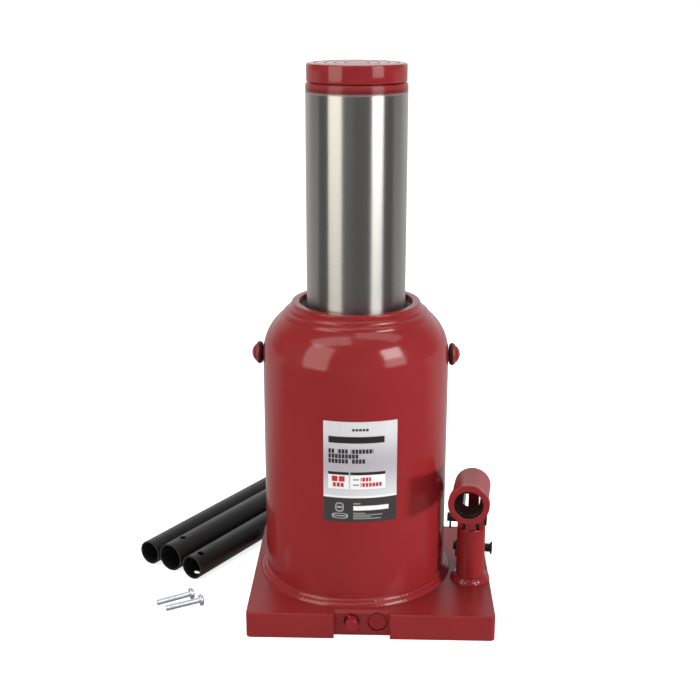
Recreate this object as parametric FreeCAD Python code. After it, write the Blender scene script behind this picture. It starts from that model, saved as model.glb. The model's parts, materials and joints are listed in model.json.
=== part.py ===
import FreeCAD, Part
import math
import os

# Hydraulic bottle jack, millimetres. The origin is on the ram's axis at the ground, +X is
# to the right seen from the valve side, +Y to the back and +Z up. The ram is fully out.

Vector = FreeCAD.Vector
ORIGIN = Vector(0, 0, 0)
UP = Vector(0, 0, 1)
RIGHT = Vector(1, 0, 0)
BACK = Vector(0, 1, 0)
FRONT = Vector(0, -1, 0)

# ---- driving dimensions -------------------------------------------------------------

RUNNING_CLEARANCE = 0.08        # radial, between a shaft and the bore it turns or slides in
BODY_GAP = 0.4                  # between bodies that pass each other without a fit

# Base plate
BASE_LEFT = -86.2
BASE_RIGHT = 115.3
BASE_FRONT = -93.2
BASE_BACK = 77.2
BASE_HEIGHT = 21.7
BASE_CORNER_RADIUS = 4.0
BASE_EDGE_RADIUS = 1.2
NOTCH_LEFT = -15.0
NOTCH_RIGHT = 30.4
NOTCH_WALL_Y = -87.0
NOTCH_LIP = 2.4                 # slope at the top of the notch's wall

# Reservoir, cylinder tube and ram
RESERVOIR_RADIUS = 76.9
RESERVOIR_WALL = 4.5
SHOULDER_RADIUS = 41.0
SHOULDER_START_Z = 215.7
TUBE_RADIUS = 52.85
TUBE_BORE = 46.45
TUBE_TOP_Z = 259.2
TUBE_SEAT_Z = 15.7
GASKET_THICKNESS = 1.0
FOOT_WELD = 6.0
SHOULDER_WELD_RADIUS = 61.0
SHOULDER_WELD_TOP_Z = 256.4

CLOSED_HEIGHT = 279.3
STROKE = 170.0
SADDLE_HEIGHT = 14.0
SADDLE_RADIUS = 39.6
SADDLE_EDGE = 1.5
SADDLE_GROOVES = (9.6, 17.5, 25.4, 33.2)
GROOVE_WIDTH = 1.8
GROOVE_DEPTH = 1.2
SADDLE_GAP = 0.8                # shadow line between the saddle and the ram
SADDLE_SPIGOT_RADIUS = 14.0
SADDLE_SPIGOT_LENGTH = 18.0
RAM_RADIUS = 40.35
PISTON_LENGTH = 30.0

GLAND_RECESS = 4.3              # the gland nut sits this far below the tube's top
GLAND_LENGTH = 20.7
WIPER_HEIGHT = 4.0
ORING_SECTION = 2.4

# Pump: plunger pump at the right, and the socket that works it
PUMP_X = 98.75
PUMP_Y = -25.0
PUMP_YAW = 7.8                  # degrees, the lever's rear end swings towards +X
PUMP_RADIUS = 11.9
PUMP_TOP_Z = 70.4
PUMP_SEAT_Z = 13.7
PLUNGER_RADIUS = 6.6
PLUNGER_BOTTOM_Z = 26.0
PUMP_WELD = 5.4
TANG_HALF = 4.5
TANG_FRONT = -11.0
TANG_REAR = 8.0
TANG_BOTTOM_Z = 70.8
TANG_TOP_Z = 84.8

# Pivot places in the lever's plane: distance behind the pump's axis, and height
PLUNGER_PIVOT = (0.0, 76.6)
LINK_PIVOT = (26.0, 91.3)
FULCRUM_PIVOT = (26.0, 38.1)
PIN_RADIUS = 3.7
PIN_HEAD_RADIUS = 5.4
PIN_HEAD_THICKNESS = 1.7
PLUNGER_PIN_ENDS = (-20.5, 12.8)
LINK_PIN_ENDS = (-17.8, 13.0)
FULCRUM_PIN_ENDS = (-16.6, 17.0)
COTTER_RADIUS = 0.8
COTTER_INSET = 2.6              # from the pin's plain end to the cotter
LOST_MOTION_FRONT = 2.8         # slot in the plunger's tang, either side of its pin
LOST_MOTION_REAR = 0.4
SLOT_CLEARANCE = 0.5            # radial, between that slot and the pin
LINK_HALF = 4.4
LINK_EYE_RADIUS = 8.0
LINK_WAIST = 6.0
LUG_INNER = 5.0
LUG_OUTER = 10.5
LUG_EYE_RADIUS = 9.0

SOCKET_FRONT = -47.8
SOCKET_REAR = -1.1
SOCKET_FRONT_Z = 109.05
SOCKET_TILT = 1.5               # degrees, front end up
SOCKET_RADIUS = 15.0
SOCKET_BORE = 11.6
SOCKET_SLOT_FRONT = -21.0
COLLAR_RADIUS = 16.8
COLLAR_LENGTH = 7.0
EAR_INNER = 7.0
EAR_OUTER = 11.0
EAR_BOTTOM_Z = 70.8

# Valves in the base
RELEASE_X = -0.7
RELEASE_Z = 12.8
RELEASE_RADIUS = 5.1
RELEASE_MOUTH_RADIUS = 6.1
RELEASE_END_Y = -95.6
RELEASE_NOSE_RADIUS = 3.4
RELEASE_SHOULDER_Y = -68.0
RELEASE_SEAT_Y = -56.0
CROSS_PIN_RADIUS = 1.1
CROSS_PIN_LENGTH = 16.0
CROSS_PIN_TILT = 19.0           # degrees from upright
CROSS_PIN_Y = -91.6
RELEASE_BALL_RADIUS = 2.38
OVERLOAD_X = 20.4
OVERLOAD_Z = 11.9
OVERLOAD_MOUTH_RADIUS = 8.2
OVERLOAD_PLUG_RADIUS = 7.5
OVERLOAD_SEAT_Y = -58.0
OVERLOAD_BORE = 4.2
CHECK_BALL_RADIUS = 2.4
CHECK_SEAT_RADIUS = 1.2
CHECK_BALL_GAP = 0.1            # a free ball stands this far off its seat
SUCTION_SEAT_Z = 8.5
SUCTION_PASSAGE_Z = 5.0
DELIVERY_SEAT_Z = 13.0
DELIVERY_PASSAGE_Z = 11.6
DELIVERY_X = 34.0
PASSAGE_RADIUS = 1.2

# Bail handle, its studs, the filler plug and the label
STUD_Z = 213.5
STUD_SHAFT_RADIUS = 3.6
STUD_HEAD_RADIUS = 7.2
STUD_TIP_X = 86.5
BAIL_WIRE_RADIUS = 2.75
BAIL_PLANE_X = 80.05
BAIL_EYE_RADIUS = 6.65
BAIL_LEG = 9.0
BAIL_DROOP = 25.0               # degrees below level, leaning on the reservoir's back
FILLER_Z = 155.0
FILLER_STEM_RADIUS = 5.0
FILLER_HEAD_RADIUS = 8.5
LABEL_ANGLES = (-17.8, 26.6)    # degrees from the front, to the right
LABEL_HEIGHTS = (95.5, 180.5)
LABEL_THICKNESS = 0.35

# Pump handle in three sections and its screws, lying beside the jack
HANDLE_AZIMUTH = 31.5           # degrees from +Y towards +X
HANDLE_LENGTH = 255.0
HANDLE_END = (-167.2, 22.0)     # near end of the middle section's axis
HANDLE_SMALL = (10.9, 9.4)      # outer and inner radius
HANDLE_LARGE = (12.6, 11.15)
HANDLE_REAR_OFFSET = (-24.2, -0.4)      # across and along, from the middle section
HANDLE_FRONT_OFFSET = (26.9, -2.0)
HANDLE_HOLE_RADIUS = 2.9
HANDLE_FRONT_ROLL = 14.0        # degrees from upright
SCREW_TIPS = ((-166.8, -46.4), (-157.5, -56.0))
SCREW_AZIMUTHS = (65.3, 68.6)   # degrees from +Y towards +X
SCREW_LENGTH = 29.0
SCREW_RADIUS = 2.5
SCREW_HEAD_RADIUS = 4.9
SCREW_HEAD_HEIGHT = 3.4

# ---- derived places ------------------------------------------------------------------

SADDLE_TOP_Z = CLOSED_HEIGHT + STROKE
SHOULDER_CENTRE_R = RESERVOIR_RADIUS - SHOULDER_RADIUS
TUBE_BOTTOM_Z = TUBE_SEAT_Z + GASKET_THICKNESS
GLAND_TOP_Z = TUBE_TOP_Z - GLAND_RECESS
GLAND_BOTTOM_Z = GLAND_TOP_Z - GLAND_LENGTH
RAM_TOP_Z = SADDLE_TOP_Z - SADDLE_HEIGHT - SADDLE_GAP
PISTON_TOP_Z = GLAND_BOTTOM_Z - BODY_GAP
PISTON_BOTTOM_Z = PISTON_TOP_Z - PISTON_LENGTH
PISTON_RADIUS = TUBE_BORE - RUNNING_CLEARANCE
PUMP_AXIS = Vector(PUMP_X, PUMP_Y, 0)


# ---- small tools ---------------------------------------------------------------------

def save(node, shape):
    """Write one node; every solid in it has to be sound."""
    if not shape.isValid() or not shape.Solids:
        raise ValueError(node + " is not a sound solid")
    shape.exportStep("parts/" + node + ".step")


def cylinder(radius, start, end):
    """Round bar from one point to another."""
    along = end.sub(start)
    return Part.makeCylinder(radius, along.Length, start, along)


def ring(outer, inner, low, high):
    """Upright round tube about the ram's axis."""
    return revolve([(inner, low), (outer, low), (outer, high), (inner, high)])


def revolve(points):
    """Closed profile of (radius, height) points, turned about the ram's axis."""
    corners = [Vector(r, 0, z) for r, z in points]
    wire = Part.makePolygon(corners + corners[:1])
    return Part.Face(wire).revolve(ORIGIN, UP, 360)


def revolve_edges(edges):
    """Closed profile of edges in the XZ plane, turned about the ram's axis."""
    return Part.Face(Part.Wire(edges)).revolve(ORIGIN, UP, 360)


def line(start, end):
    """Edge between two (radius, height) points."""
    return Part.LineSegment(Vector(start[0], 0, start[1]), Vector(end[0], 0, end[1])).toShape()


def arc(start, middle, end):
    """Circular edge through three (radius, height) points."""
    return Part.Arc(*[Vector(r, 0, z) for r, z in (start, middle, end)]).toShape()


def on_arc(centre, radius, angle):
    """(radius, height) point at an angle in degrees on a profile arc."""
    turn = math.radians(angle)
    return (centre[0] + radius * math.cos(turn), centre[1] + radius * math.sin(turn))


def at_pump(shape):
    """Move a shape from the lever's own frame (x across, y to the rear) to the pump."""
    shape.rotate(ORIGIN, UP, -PUMP_YAW)
    shape.translate(PUMP_AXIS)
    return shape


def profile_plate(points, left, right):
    """Plate in the lever's own frame, from (rear, height) points, between two x planes."""
    corners = [Vector(left, s, z) for s, z in points]
    face = Part.Face(Part.makePolygon(corners + corners[:1]))
    return face.extrude(Vector(right - left, 0, 0))


def cross_bar(radius, pivot, left, right):
    """Round bar across the lever's own frame at a (rear, height) pivot."""
    start = Vector(left, pivot[0], pivot[1])
    return cylinder(radius, start, Vector(right, pivot[0], pivot[1]))


def base_outline(height):
    """The base plate's outline as a solid of a given height, corners rounded."""
    size_x = BASE_RIGHT - BASE_LEFT
    size_y = BASE_BACK - BASE_FRONT
    block = Part.makeBox(size_x, size_y, height, Vector(BASE_LEFT, BASE_FRONT, 0))
    uprights = [e for e in block.Edges if abs(e.Vertexes[0].Z - e.Vertexes[1].Z) > 1]
    return block.makeFillet(BASE_CORNER_RADIUS, uprights)


# ---- base plate and its passages -----------------------------------------------------

def notch_tool():
    """Block that cuts the valve notch, with a sloped lip at the top of its wall."""
    points = [
        (BASE_FRONT - 5, -1),
        (NOTCH_WALL_Y, -1),
        (NOTCH_WALL_Y, BASE_HEIGHT - NOTCH_LIP),
        (NOTCH_WALL_Y + NOTCH_LIP, BASE_HEIGHT + 0.001),
        (BASE_FRONT - 5, BASE_HEIGHT + 0.001),
    ]
    corners = [Vector(NOTCH_LEFT, y, z) for y, z in points]
    face = Part.Face(Part.makePolygon(corners + corners[:1]))
    return face.extrude(Vector(NOTCH_RIGHT - NOTCH_LEFT, 0, 0))


def release_bores():
    """Release valve: mouth, thread bore, ball pocket, seat and the two oil ways."""
    def at(y, z=RELEASE_Z):
        return Vector(RELEASE_X, y, z)
    thread_bore = RELEASE_RADIUS + RUNNING_CLEARANCE
    return [
        cylinder(RELEASE_MOUTH_RADIUS, at(NOTCH_WALL_Y - 1), at(NOTCH_WALL_Y + 7)),
        cylinder(thread_bore, at(NOTCH_WALL_Y), at(RELEASE_SHOULDER_Y + 3)),
        cylinder(RELEASE_NOSE_RADIUS + BODY_GAP, at(RELEASE_SHOULDER_Y), at(RELEASE_SEAT_Y)),
        cylinder(1.5, at(RELEASE_SEAT_Y - 1), at(-40)),
        cylinder(1.5, at(-41), at(-41, TUBE_SEAT_Z + 1)),
        cylinder(1.5, at(-62.5), at(-62.5, BASE_HEIGHT + 1)),
    ]


def overload_bores():
    """Overload valve: plug mouth, spring bore, seat and the two oil ways."""
    def at(y, z=OVERLOAD_Z):
        return Vector(OVERLOAD_X, y, z)
    return [
        cylinder(OVERLOAD_MOUTH_RADIUS, at(NOTCH_WALL_Y - 1), at(NOTCH_WALL_Y + 2.5)),
        cylinder(OVERLOAD_PLUG_RADIUS, at(NOTCH_WALL_Y), at(NOTCH_WALL_Y + 9)),
        cylinder(OVERLOAD_BORE, at(NOTCH_WALL_Y), at(OVERLOAD_SEAT_Y)),
        cylinder(CHECK_SEAT_RADIUS, at(OVERLOAD_SEAT_Y - 1), at(-38)),
        cylinder(CHECK_SEAT_RADIUS, at(-39), at(-39, TUBE_SEAT_Z + 1)),
        cylinder(CHECK_SEAT_RADIUS, at(-63), at(-63, BASE_HEIGHT + 1)),
    ]


def pump_bores():
    """Seat of the pump cylinder, its two check valves and their passages."""
    def at(x, y, z):
        return Vector(x, y, z)
    suction_x = 64.0
    suction_y = -12.0
    pocket = CHECK_BALL_RADIUS + 1.2
    low = SUCTION_PASSAGE_Z
    through = DELIVERY_PASSAGE_Z
    return [
        cylinder(PUMP_RADIUS, at(PUMP_X, PUMP_Y, PUMP_SEAT_Z), at(PUMP_X, PUMP_Y, 30)),
        cylinder(pocket, at(PUMP_X, PUMP_Y, SUCTION_SEAT_Z), at(PUMP_X, PUMP_Y, PUMP_SEAT_Z + 1)),
        cylinder(CHECK_SEAT_RADIUS, at(PUMP_X, PUMP_Y, low), at(PUMP_X, PUMP_Y, SUCTION_SEAT_Z + 1)),
        cylinder(PASSAGE_RADIUS, at(PUMP_X, PUMP_Y, low), at(suction_x, suction_y, low)),
        cylinder(PASSAGE_RADIUS, at(suction_x, suction_y, low), at(suction_x, suction_y, 30)),
        cylinder(PASSAGE_RADIUS, at(BASE_RIGHT + 1, PUMP_Y, through), at(DELIVERY_X, PUMP_Y, through)),
        cylinder(3.0, at(BASE_RIGHT + 1, PUMP_Y, through), at(BASE_RIGHT - 3, PUMP_Y, through)),
        cylinder(CHECK_SEAT_RADIUS, at(DELIVERY_X, PUMP_Y, through), at(DELIVERY_X, PUMP_Y, 15)),
        cylinder(pocket, at(DELIVERY_X, PUMP_Y, DELIVERY_SEAT_Z), at(DELIVERY_X, PUMP_Y, 30)),
    ]


def base_plate():
    block = base_outline(BASE_HEIGHT)
    top_edges = [e for e in block.Edges if min(v.Z for v in e.Vertexes) > BASE_HEIGHT - 0.01]
    block = block.makeFillet(BASE_EDGE_RADIUS, top_edges)
    tube_seat = Part.makeCylinder(TUBE_RADIUS, BASE_HEIGHT, Vector(0, 0, TUBE_SEAT_Z))
    tools = [notch_tool(), tube_seat] + release_bores() + overload_bores() + pump_bores()
    for tool in tools:
        block = block.cut(tool)
    save("base_plate", block)


def delivery_plug():
    """Screwed-in blank that closes the outer end of the delivery drilling."""
    start = Vector(BASE_RIGHT - 3, PUMP_Y, DELIVERY_PASSAGE_Z)
    plug = cylinder(3.0, start, start + Vector(2.7, 0, 0))
    hexagon = Part.makePolygon([
        Vector(BASE_RIGHT, PUMP_Y + 1.5 * math.cos(k * math.pi / 3),
               DELIVERY_PASSAGE_Z + 1.5 * math.sin(k * math.pi / 3)) for k in range(7)])
    socket = Part.Face(hexagon).extrude(Vector(-1.8, 0, 0))
    save("delivery_bore_plug", plug.cut(socket))


# ---- reservoir, cylinder tube and gland ----------------------------------------------

def shoulder_height(radius, curve):
    """Height of a shoulder arc of a given curve radius at a distance from the axis."""
    reach = radius - SHOULDER_CENTRE_R
    return SHOULDER_START_Z + math.sqrt(curve * curve - reach * reach)


def shoulder_arc(curve):
    """End points and middle of a shoulder arc, from the wall up to the tube."""
    centre = (SHOULDER_CENTRE_R, SHOULDER_START_Z)
    top_angle = math.degrees(math.acos((TUBE_RADIUS - SHOULDER_CENTRE_R) / curve))
    middle = on_arc(centre, curve, top_angle / 2)
    return on_arc(centre, curve, 0), middle, on_arc(centre, curve, top_angle)


def reservoir_solid():
    inner_curve = SHOULDER_RADIUS - RESERVOIR_WALL
    outside = shoulder_arc(SHOULDER_RADIUS)
    inside = shoulder_arc(inner_curve)
    inner_radius = RESERVOIR_RADIUS - RESERVOIR_WALL
    return revolve_edges([
        line((inner_radius, BASE_HEIGHT), (RESERVOIR_RADIUS, BASE_HEIGHT)),
        line((RESERVOIR_RADIUS, BASE_HEIGHT), outside[0]),
        arc(*outside),
        line(outside[2], inside[2]),
        arc(*inside),
        line(inside[0], (inner_radius, BASE_HEIGHT)),
    ])


def reservoir_shell():
    shell = reservoir_solid()
    start = Vector(0, RESERVOIR_RADIUS - RESERVOIR_WALL - 2, FILLER_Z)
    shell = shell.cut(cylinder(FILLER_STEM_RADIUS + 0.3, start, start + Vector(0, 10, 0)))
    for side in (-1, 1):
        start = Vector(side * (RESERVOIR_RADIUS - RESERVOIR_WALL - 2), 0, STUD_Z)
        shell = shell.cut(cylinder(STUD_SHAFT_RADIUS, start, start + Vector(side * 10, 0, 0)))
    save("reservoir_shell", shell)


def welds():
    """Foot bead of the reservoir, bead at the collar, and the pump's foot bead."""
    low = BASE_HEIGHT
    foot = revolve_edges([
        line((RESERVOIR_RADIUS, low), (RESERVOIR_RADIUS + FOOT_WELD, low)),
        arc((RESERVOIR_RADIUS + FOOT_WELD, low),
            (RESERVOIR_RADIUS + 0.72 * FOOT_WELD, low + 0.62 * FOOT_WELD),
            (RESERVOIR_RADIUS, low + 0.95 * FOOT_WELD)),
        line((RESERVOIR_RADIUS, low + 0.95 * FOOT_WELD), (RESERVOIR_RADIUS, low)),
    ])
    save("reservoir_foot_weld", foot.common(base_outline(60)))
    outer = (SHOULDER_WELD_RADIUS, shoulder_height(SHOULDER_WELD_RADIUS, SHOULDER_RADIUS))
    inner_top = (TUBE_RADIUS, SHOULDER_WELD_TOP_Z)
    crown = (0.5 * (outer[0] + inner_top[0]) + 0.4, 0.5 * (outer[1] + inner_top[1]) + 0.9)
    shoulder = revolve_edges([
        line(inner_top, (TUBE_RADIUS, outer[1] - 2)),
        line((TUBE_RADIUS, outer[1] - 2), (outer[0], outer[1] - 2)),
        line((outer[0], outer[1] - 2), outer),
        arc(outer, crown, inner_top),
    ])
    save("shoulder_weld", keep_largest(shoulder.cut(reservoir_solid())))
    pump_low = BASE_HEIGHT
    pump_foot = revolve_edges([
        line((PUMP_RADIUS, pump_low), (PUMP_RADIUS + PUMP_WELD, pump_low)),
        arc((PUMP_RADIUS + PUMP_WELD, pump_low),
            (PUMP_RADIUS + 0.75 * PUMP_WELD, pump_low + 0.7 * PUMP_WELD),
            (PUMP_RADIUS, pump_low + PUMP_WELD)),
        line((PUMP_RADIUS, pump_low + PUMP_WELD), (PUMP_RADIUS, pump_low)),
    ])
    pump_foot.translate(PUMP_AXIS)
    save("pump_foot_weld", pump_foot.common(base_outline(60)))


def keep_largest(shape):
    """The biggest solid of a cut, without the slivers beside it."""
    return max(shape.Solids, key=lambda solid: solid.Volume)


def cylinder_tube():
    chamfer = 0.8
    tube = revolve([
        (TUBE_BORE, TUBE_BOTTOM_Z),
        (TUBE_RADIUS, TUBE_BOTTOM_Z),
        (TUBE_RADIUS, TUBE_TOP_Z - chamfer),
        (TUBE_RADIUS - chamfer, TUBE_TOP_Z),
        (TUBE_BORE + chamfer, TUBE_TOP_Z),
        (TUBE_BORE, TUBE_TOP_Z - chamfer),
    ])
    save("cylinder_tube", tube)
    save("cylinder_gasket", ring(TUBE_RADIUS, TUBE_BORE, TUBE_SEAT_Z, TUBE_BOTTOM_Z))


def gland():
    """Screwed-in gland nut with its wiper, its O-ring and two spanner notches."""
    bore = RAM_RADIUS + RUNNING_CLEARANCE
    wiper_outer = RAM_RADIUS + 3.2
    wiper_low = GLAND_TOP_Z - WIPER_HEIGHT + 0.6
    oring_z = GLAND_BOTTOM_Z + 5
    nut = revolve([
        (bore, GLAND_BOTTOM_Z),
        (TUBE_BORE, GLAND_BOTTOM_Z),
        (TUBE_BORE, oring_z),
        (TUBE_BORE - ORING_SECTION, oring_z),
        (TUBE_BORE - ORING_SECTION, oring_z + ORING_SECTION),
        (TUBE_BORE, oring_z + ORING_SECTION),
        (TUBE_BORE, GLAND_TOP_Z - 0.6),
        (TUBE_BORE - 0.6, GLAND_TOP_Z),
        (wiper_outer, GLAND_TOP_Z),
        (wiper_outer, wiper_low),
        (bore, wiper_low),
    ])
    spanner_slot = Part.makeBox(120, 4.4, 5, Vector(-60, -2.2, GLAND_TOP_Z - 3))
    spanner_slot = spanner_slot.cut(Part.makeCylinder(wiper_outer + 0.8, 300))
    nut = nut.cut(spanner_slot)
    save("gland_nut", nut)
    lip = WIPER_HEIGHT + 0.5
    wiper = revolve([
        (bore, wiper_low),
        (wiper_outer, wiper_low),
        (wiper_outer, GLAND_TOP_Z - 0.2),
        (bore + 1.2, GLAND_TOP_Z - 0.2),
        (bore + 0.3, wiper_low + lip),
        (bore, wiper_low + lip),
    ])
    save("ram_wiper", wiper)
    save("gland_o_ring", ring(TUBE_BORE, TUBE_BORE - ORING_SECTION, oring_z, oring_z + ORING_SECTION))


# ---- ram and saddle ------------------------------------------------------------------

def ram():
    """Ram with its piston head, cup seal, guide band and the cup's retainer."""
    band_z = PISTON_TOP_Z - 10
    band_height = 6.0
    band_depth = 2.2
    cup_z = PISTON_BOTTOM_Z + 5
    cup_height = 8.0
    cup_inner = 38.0
    edge = 1.4
    neck = SADDLE_SPIGOT_RADIUS
    rod = revolve([
        (0, cup_z),
        (cup_inner, cup_z),
        (cup_inner, cup_z + cup_height),
        (PISTON_RADIUS, cup_z + cup_height),
        (PISTON_RADIUS, band_z),
        (PISTON_RADIUS - band_depth, band_z),
        (PISTON_RADIUS - band_depth, band_z + band_height),
        (PISTON_RADIUS, band_z + band_height),
        (PISTON_RADIUS, PISTON_TOP_Z - 1),
        (PISTON_RADIUS - 1, PISTON_TOP_Z),
        (RAM_RADIUS, PISTON_TOP_Z),
        (RAM_RADIUS, RAM_TOP_Z - edge),
        (RAM_RADIUS - edge, RAM_TOP_Z),
        (neck, RAM_TOP_Z),
        (neck, RAM_TOP_Z - SADDLE_SPIGOT_LENGTH),
        (0, RAM_TOP_Z - SADDLE_SPIGOT_LENGTH),
    ])
    screw_hole = Part.makeCylinder(6, 22, Vector(0, 0, cup_z))
    save("ram", rod.cut(screw_hole))
    save("piston_guide_band", ring(PISTON_RADIUS, PISTON_RADIUS - band_depth, band_z, band_z + band_height))
    cup = revolve([
        (cup_inner, cup_z),
        (PISTON_RADIUS - 2, cup_z),
        (PISTON_RADIUS, cup_z + 0.5),
        (PISTON_RADIUS, cup_z + cup_height),
        (cup_inner, cup_z + cup_height),
    ])
    save("piston_cup_seal", cup)
    retainer = ring(PISTON_RADIUS - 1.5, 6.5, PISTON_BOTTOM_Z, cup_z)
    save("cup_retainer", retainer)
    screw = Part.makeCylinder(6, 24, Vector(0, 0, PISTON_BOTTOM_Z))
    head = Part.makeCylinder(10, 6, Vector(0, 0, PISTON_BOTTOM_Z - 6))
    hexagon = Part.makePolygon([Vector(4 * math.cos(k * math.pi / 3), 4 * math.sin(k * math.pi / 3),
                                       PISTON_BOTTOM_Z - 6) for k in range(7)])
    socket = Part.Face(hexagon).extrude(Vector(0, 0, 4))
    save("cup_retainer_screw", screw.fuse(head).removeSplitter().cut(socket))


def saddle():
    """Load saddle: a disc with ring grooves, on a spigot pressed into the ram."""
    low = SADDLE_TOP_Z - SADDLE_HEIGHT
    disc = revolve([
        (0, low - SADDLE_GAP - SADDLE_SPIGOT_LENGTH + 1),
        (SADDLE_SPIGOT_RADIUS, low - SADDLE_GAP - SADDLE_SPIGOT_LENGTH + 1),
        (SADDLE_SPIGOT_RADIUS, low - SADDLE_GAP),
        (SADDLE_RADIUS - 2.5, low - SADDLE_GAP),
        (SADDLE_RADIUS - 2.5, low),
        (SADDLE_RADIUS - 0.5, low),
        (SADDLE_RADIUS, low + 0.5),
        (SADDLE_RADIUS, SADDLE_TOP_Z - SADDLE_EDGE),
        (SADDLE_RADIUS - SADDLE_EDGE, SADDLE_TOP_Z),
        (0, SADDLE_TOP_Z),
    ])
    bottom = SADDLE_TOP_Z - GROOVE_DEPTH
    for radius in SADDLE_GROOVES:
        disc = disc.cut(revolve([
            (radius - 0.3 * GROOVE_WIDTH, bottom),
            (radius + 0.3 * GROOVE_WIDTH, bottom),
            (radius + 0.5 * GROOVE_WIDTH, SADDLE_TOP_Z + 0.01),
            (radius - 0.5 * GROOVE_WIDTH, SADDLE_TOP_Z + 0.01),
        ]))
    save("saddle", disc)


# ---- pump ----------------------------------------------------------------------------

def pump_cylinder():
    """Pump cylinder with the packing groove near its top, and its foot washer."""
    bore = PLUNGER_RADIUS + RUNNING_CLEARANCE
    packing_z = PUMP_TOP_Z - 9
    packing_height = 3.6
    packing_depth = 1.8
    edge = 1.0
    washer = 1.0
    barrel = revolve([
        (bore, PUMP_SEAT_Z + washer),
        (PUMP_RADIUS, PUMP_SEAT_Z + washer),
        (PUMP_RADIUS, PUMP_TOP_Z - edge),
        (PUMP_RADIUS - edge, PUMP_TOP_Z),
        (bore, PUMP_TOP_Z),
        (bore, packing_z + packing_height),
        (bore + packing_depth, packing_z + packing_height),
        (bore + packing_depth, packing_z),
        (bore, packing_z),
    ])
    packing = ring(bore + packing_depth, bore, packing_z, packing_z + packing_height)
    seat = ring(PUMP_RADIUS, bore, PUMP_SEAT_Z, PUMP_SEAT_Z + washer)
    for node, shape in (("pump_cylinder", barrel), ("plunger_packing", packing), ("pump_seat_washer", seat)):
        shape.translate(PUMP_AXIS)
        save(node, shape)


def plunger():
    """Plunger: round rod with a cup at its foot and a slotted tang at its top."""
    cup_height = 5.0
    stud_radius = 3.0
    rod = Part.makeCylinder(PLUNGER_RADIUS, TANG_BOTTOM_Z + 1 - PLUNGER_BOTTOM_Z - cup_height,
                            Vector(0, 0, PLUNGER_BOTTOM_Z + cup_height))
    stud = Part.makeCylinder(stud_radius, cup_height, Vector(0, 0, PLUNGER_BOTTOM_Z))
    tang = profile_plate([
        (TANG_FRONT, TANG_BOTTOM_Z),
        (TANG_REAR, TANG_BOTTOM_Z),
        (TANG_REAR, TANG_TOP_Z - 4),
        (TANG_REAR - 4, TANG_TOP_Z),
        (TANG_FRONT + 4, TANG_TOP_Z),
        (TANG_FRONT, TANG_TOP_Z - 4),
    ], -TANG_HALF, TANG_HALF)
    slot_radius = PIN_RADIUS + SLOT_CLEARANCE
    slot_front = PLUNGER_PIVOT[0] - LOST_MOTION_FRONT
    slot_rear = PLUNGER_PIVOT[0] + LOST_MOTION_REAR
    height = PLUNGER_PIVOT[1]
    front_hole = cross_bar(slot_radius, (slot_front, height), -20, 20)
    rear_hole = cross_bar(slot_radius, (slot_rear, height), -20, 20)
    slot = Part.makeBox(40, slot_rear - slot_front, 2 * slot_radius,
                        Vector(-20, slot_front, height - slot_radius))
    shape = rod.fuse(stud).fuse(tang).removeSplitter()
    for tool in (front_hole, rear_hole, slot):
        shape = shape.cut(tool)
    save("plunger", at_pump(shape))
    cup = Part.makeCylinder(PLUNGER_RADIUS, cup_height, Vector(0, 0, PLUNGER_BOTTOM_Z))
    cup = cup.cut(Part.makeCylinder(stud_radius, cup_height, Vector(0, 0, PLUNGER_BOTTOM_Z)))
    save("plunger_cup_seal", at_pump(cup))


def fulcrum():
    """Lug on the base and the link that the lever swings on."""
    rear, height = FULCRUM_PIVOT
    plates = []
    for side in (-1, 1):
        left = min(side * LUG_INNER, side * LUG_OUTER)
        right = max(side * LUG_INNER, side * LUG_OUTER)
        plate = profile_plate([
            (rear - LUG_EYE_RADIUS, BASE_HEIGHT),
            (rear + LUG_EYE_RADIUS, BASE_HEIGHT),
            (rear + LUG_EYE_RADIUS, height),
            (rear - LUG_EYE_RADIUS, height),
        ], left, right)
        plate = plate.fuse(cross_bar(LUG_EYE_RADIUS, FULCRUM_PIVOT, left, right)).removeSplitter()
        plates.append(plate.cut(cross_bar(PIN_RADIUS, FULCRUM_PIVOT, -30, 30)))
    save("fulcrum_lug_left", at_pump(plates[0]))
    save("fulcrum_lug_right", at_pump(plates[1]))
    eyes = [cross_bar(LINK_EYE_RADIUS, pivot, -LINK_HALF, LINK_HALF) for pivot in (FULCRUM_PIVOT, LINK_PIVOT)]
    waist = Part.makeBox(2 * LINK_HALF, 2 * LINK_WAIST, LINK_PIVOT[1] - height,
                         Vector(-LINK_HALF, rear - LINK_WAIST, height))
    link = waist.fuse(eyes[0]).fuse(eyes[1]).removeSplitter()
    for pivot in (FULCRUM_PIVOT, LINK_PIVOT):
        link = link.cut(cross_bar(PIN_RADIUS + RUNNING_CLEARANCE, pivot, -30, 30))
    save("fulcrum_link", at_pump(link))


def pivot_pin(node, pivot, ends):
    """Headed pin, head on the right, with a cotter ring through its plain end."""
    left, right = ends
    pin = cross_bar(PIN_RADIUS, pivot, left, right - PIN_HEAD_THICKNESS)
    pin = pin.fuse(cross_bar(PIN_HEAD_RADIUS, pivot, right - PIN_HEAD_THICKNESS, right)).removeSplitter()
    place = Vector(left + COTTER_INSET, pivot[0], pivot[1])
    reach = PIN_RADIUS + 2.6
    hole = cylinder(COTTER_RADIUS, place - Vector(0, 0, reach), place + Vector(0, 0, reach))
    save(node, at_pump(pin.cut(hole)))
    shank = cylinder(COTTER_RADIUS, place - Vector(0, 0, reach), place + Vector(0, 0, reach - 1.0))
    loop = Part.makeTorus(2.0, COTTER_RADIUS, place - Vector(0, 0, reach + 1.2), RIGHT)
    save(node + "_cotter", at_pump(shank.fuse(loop).removeSplitter()))


def socket_frame(shape):
    """Tilt a socket part about the centre of the socket's front face."""
    shape.rotate(Vector(0, SOCKET_FRONT, SOCKET_FRONT_Z), RIGHT, -SOCKET_TILT)
    return shape


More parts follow.
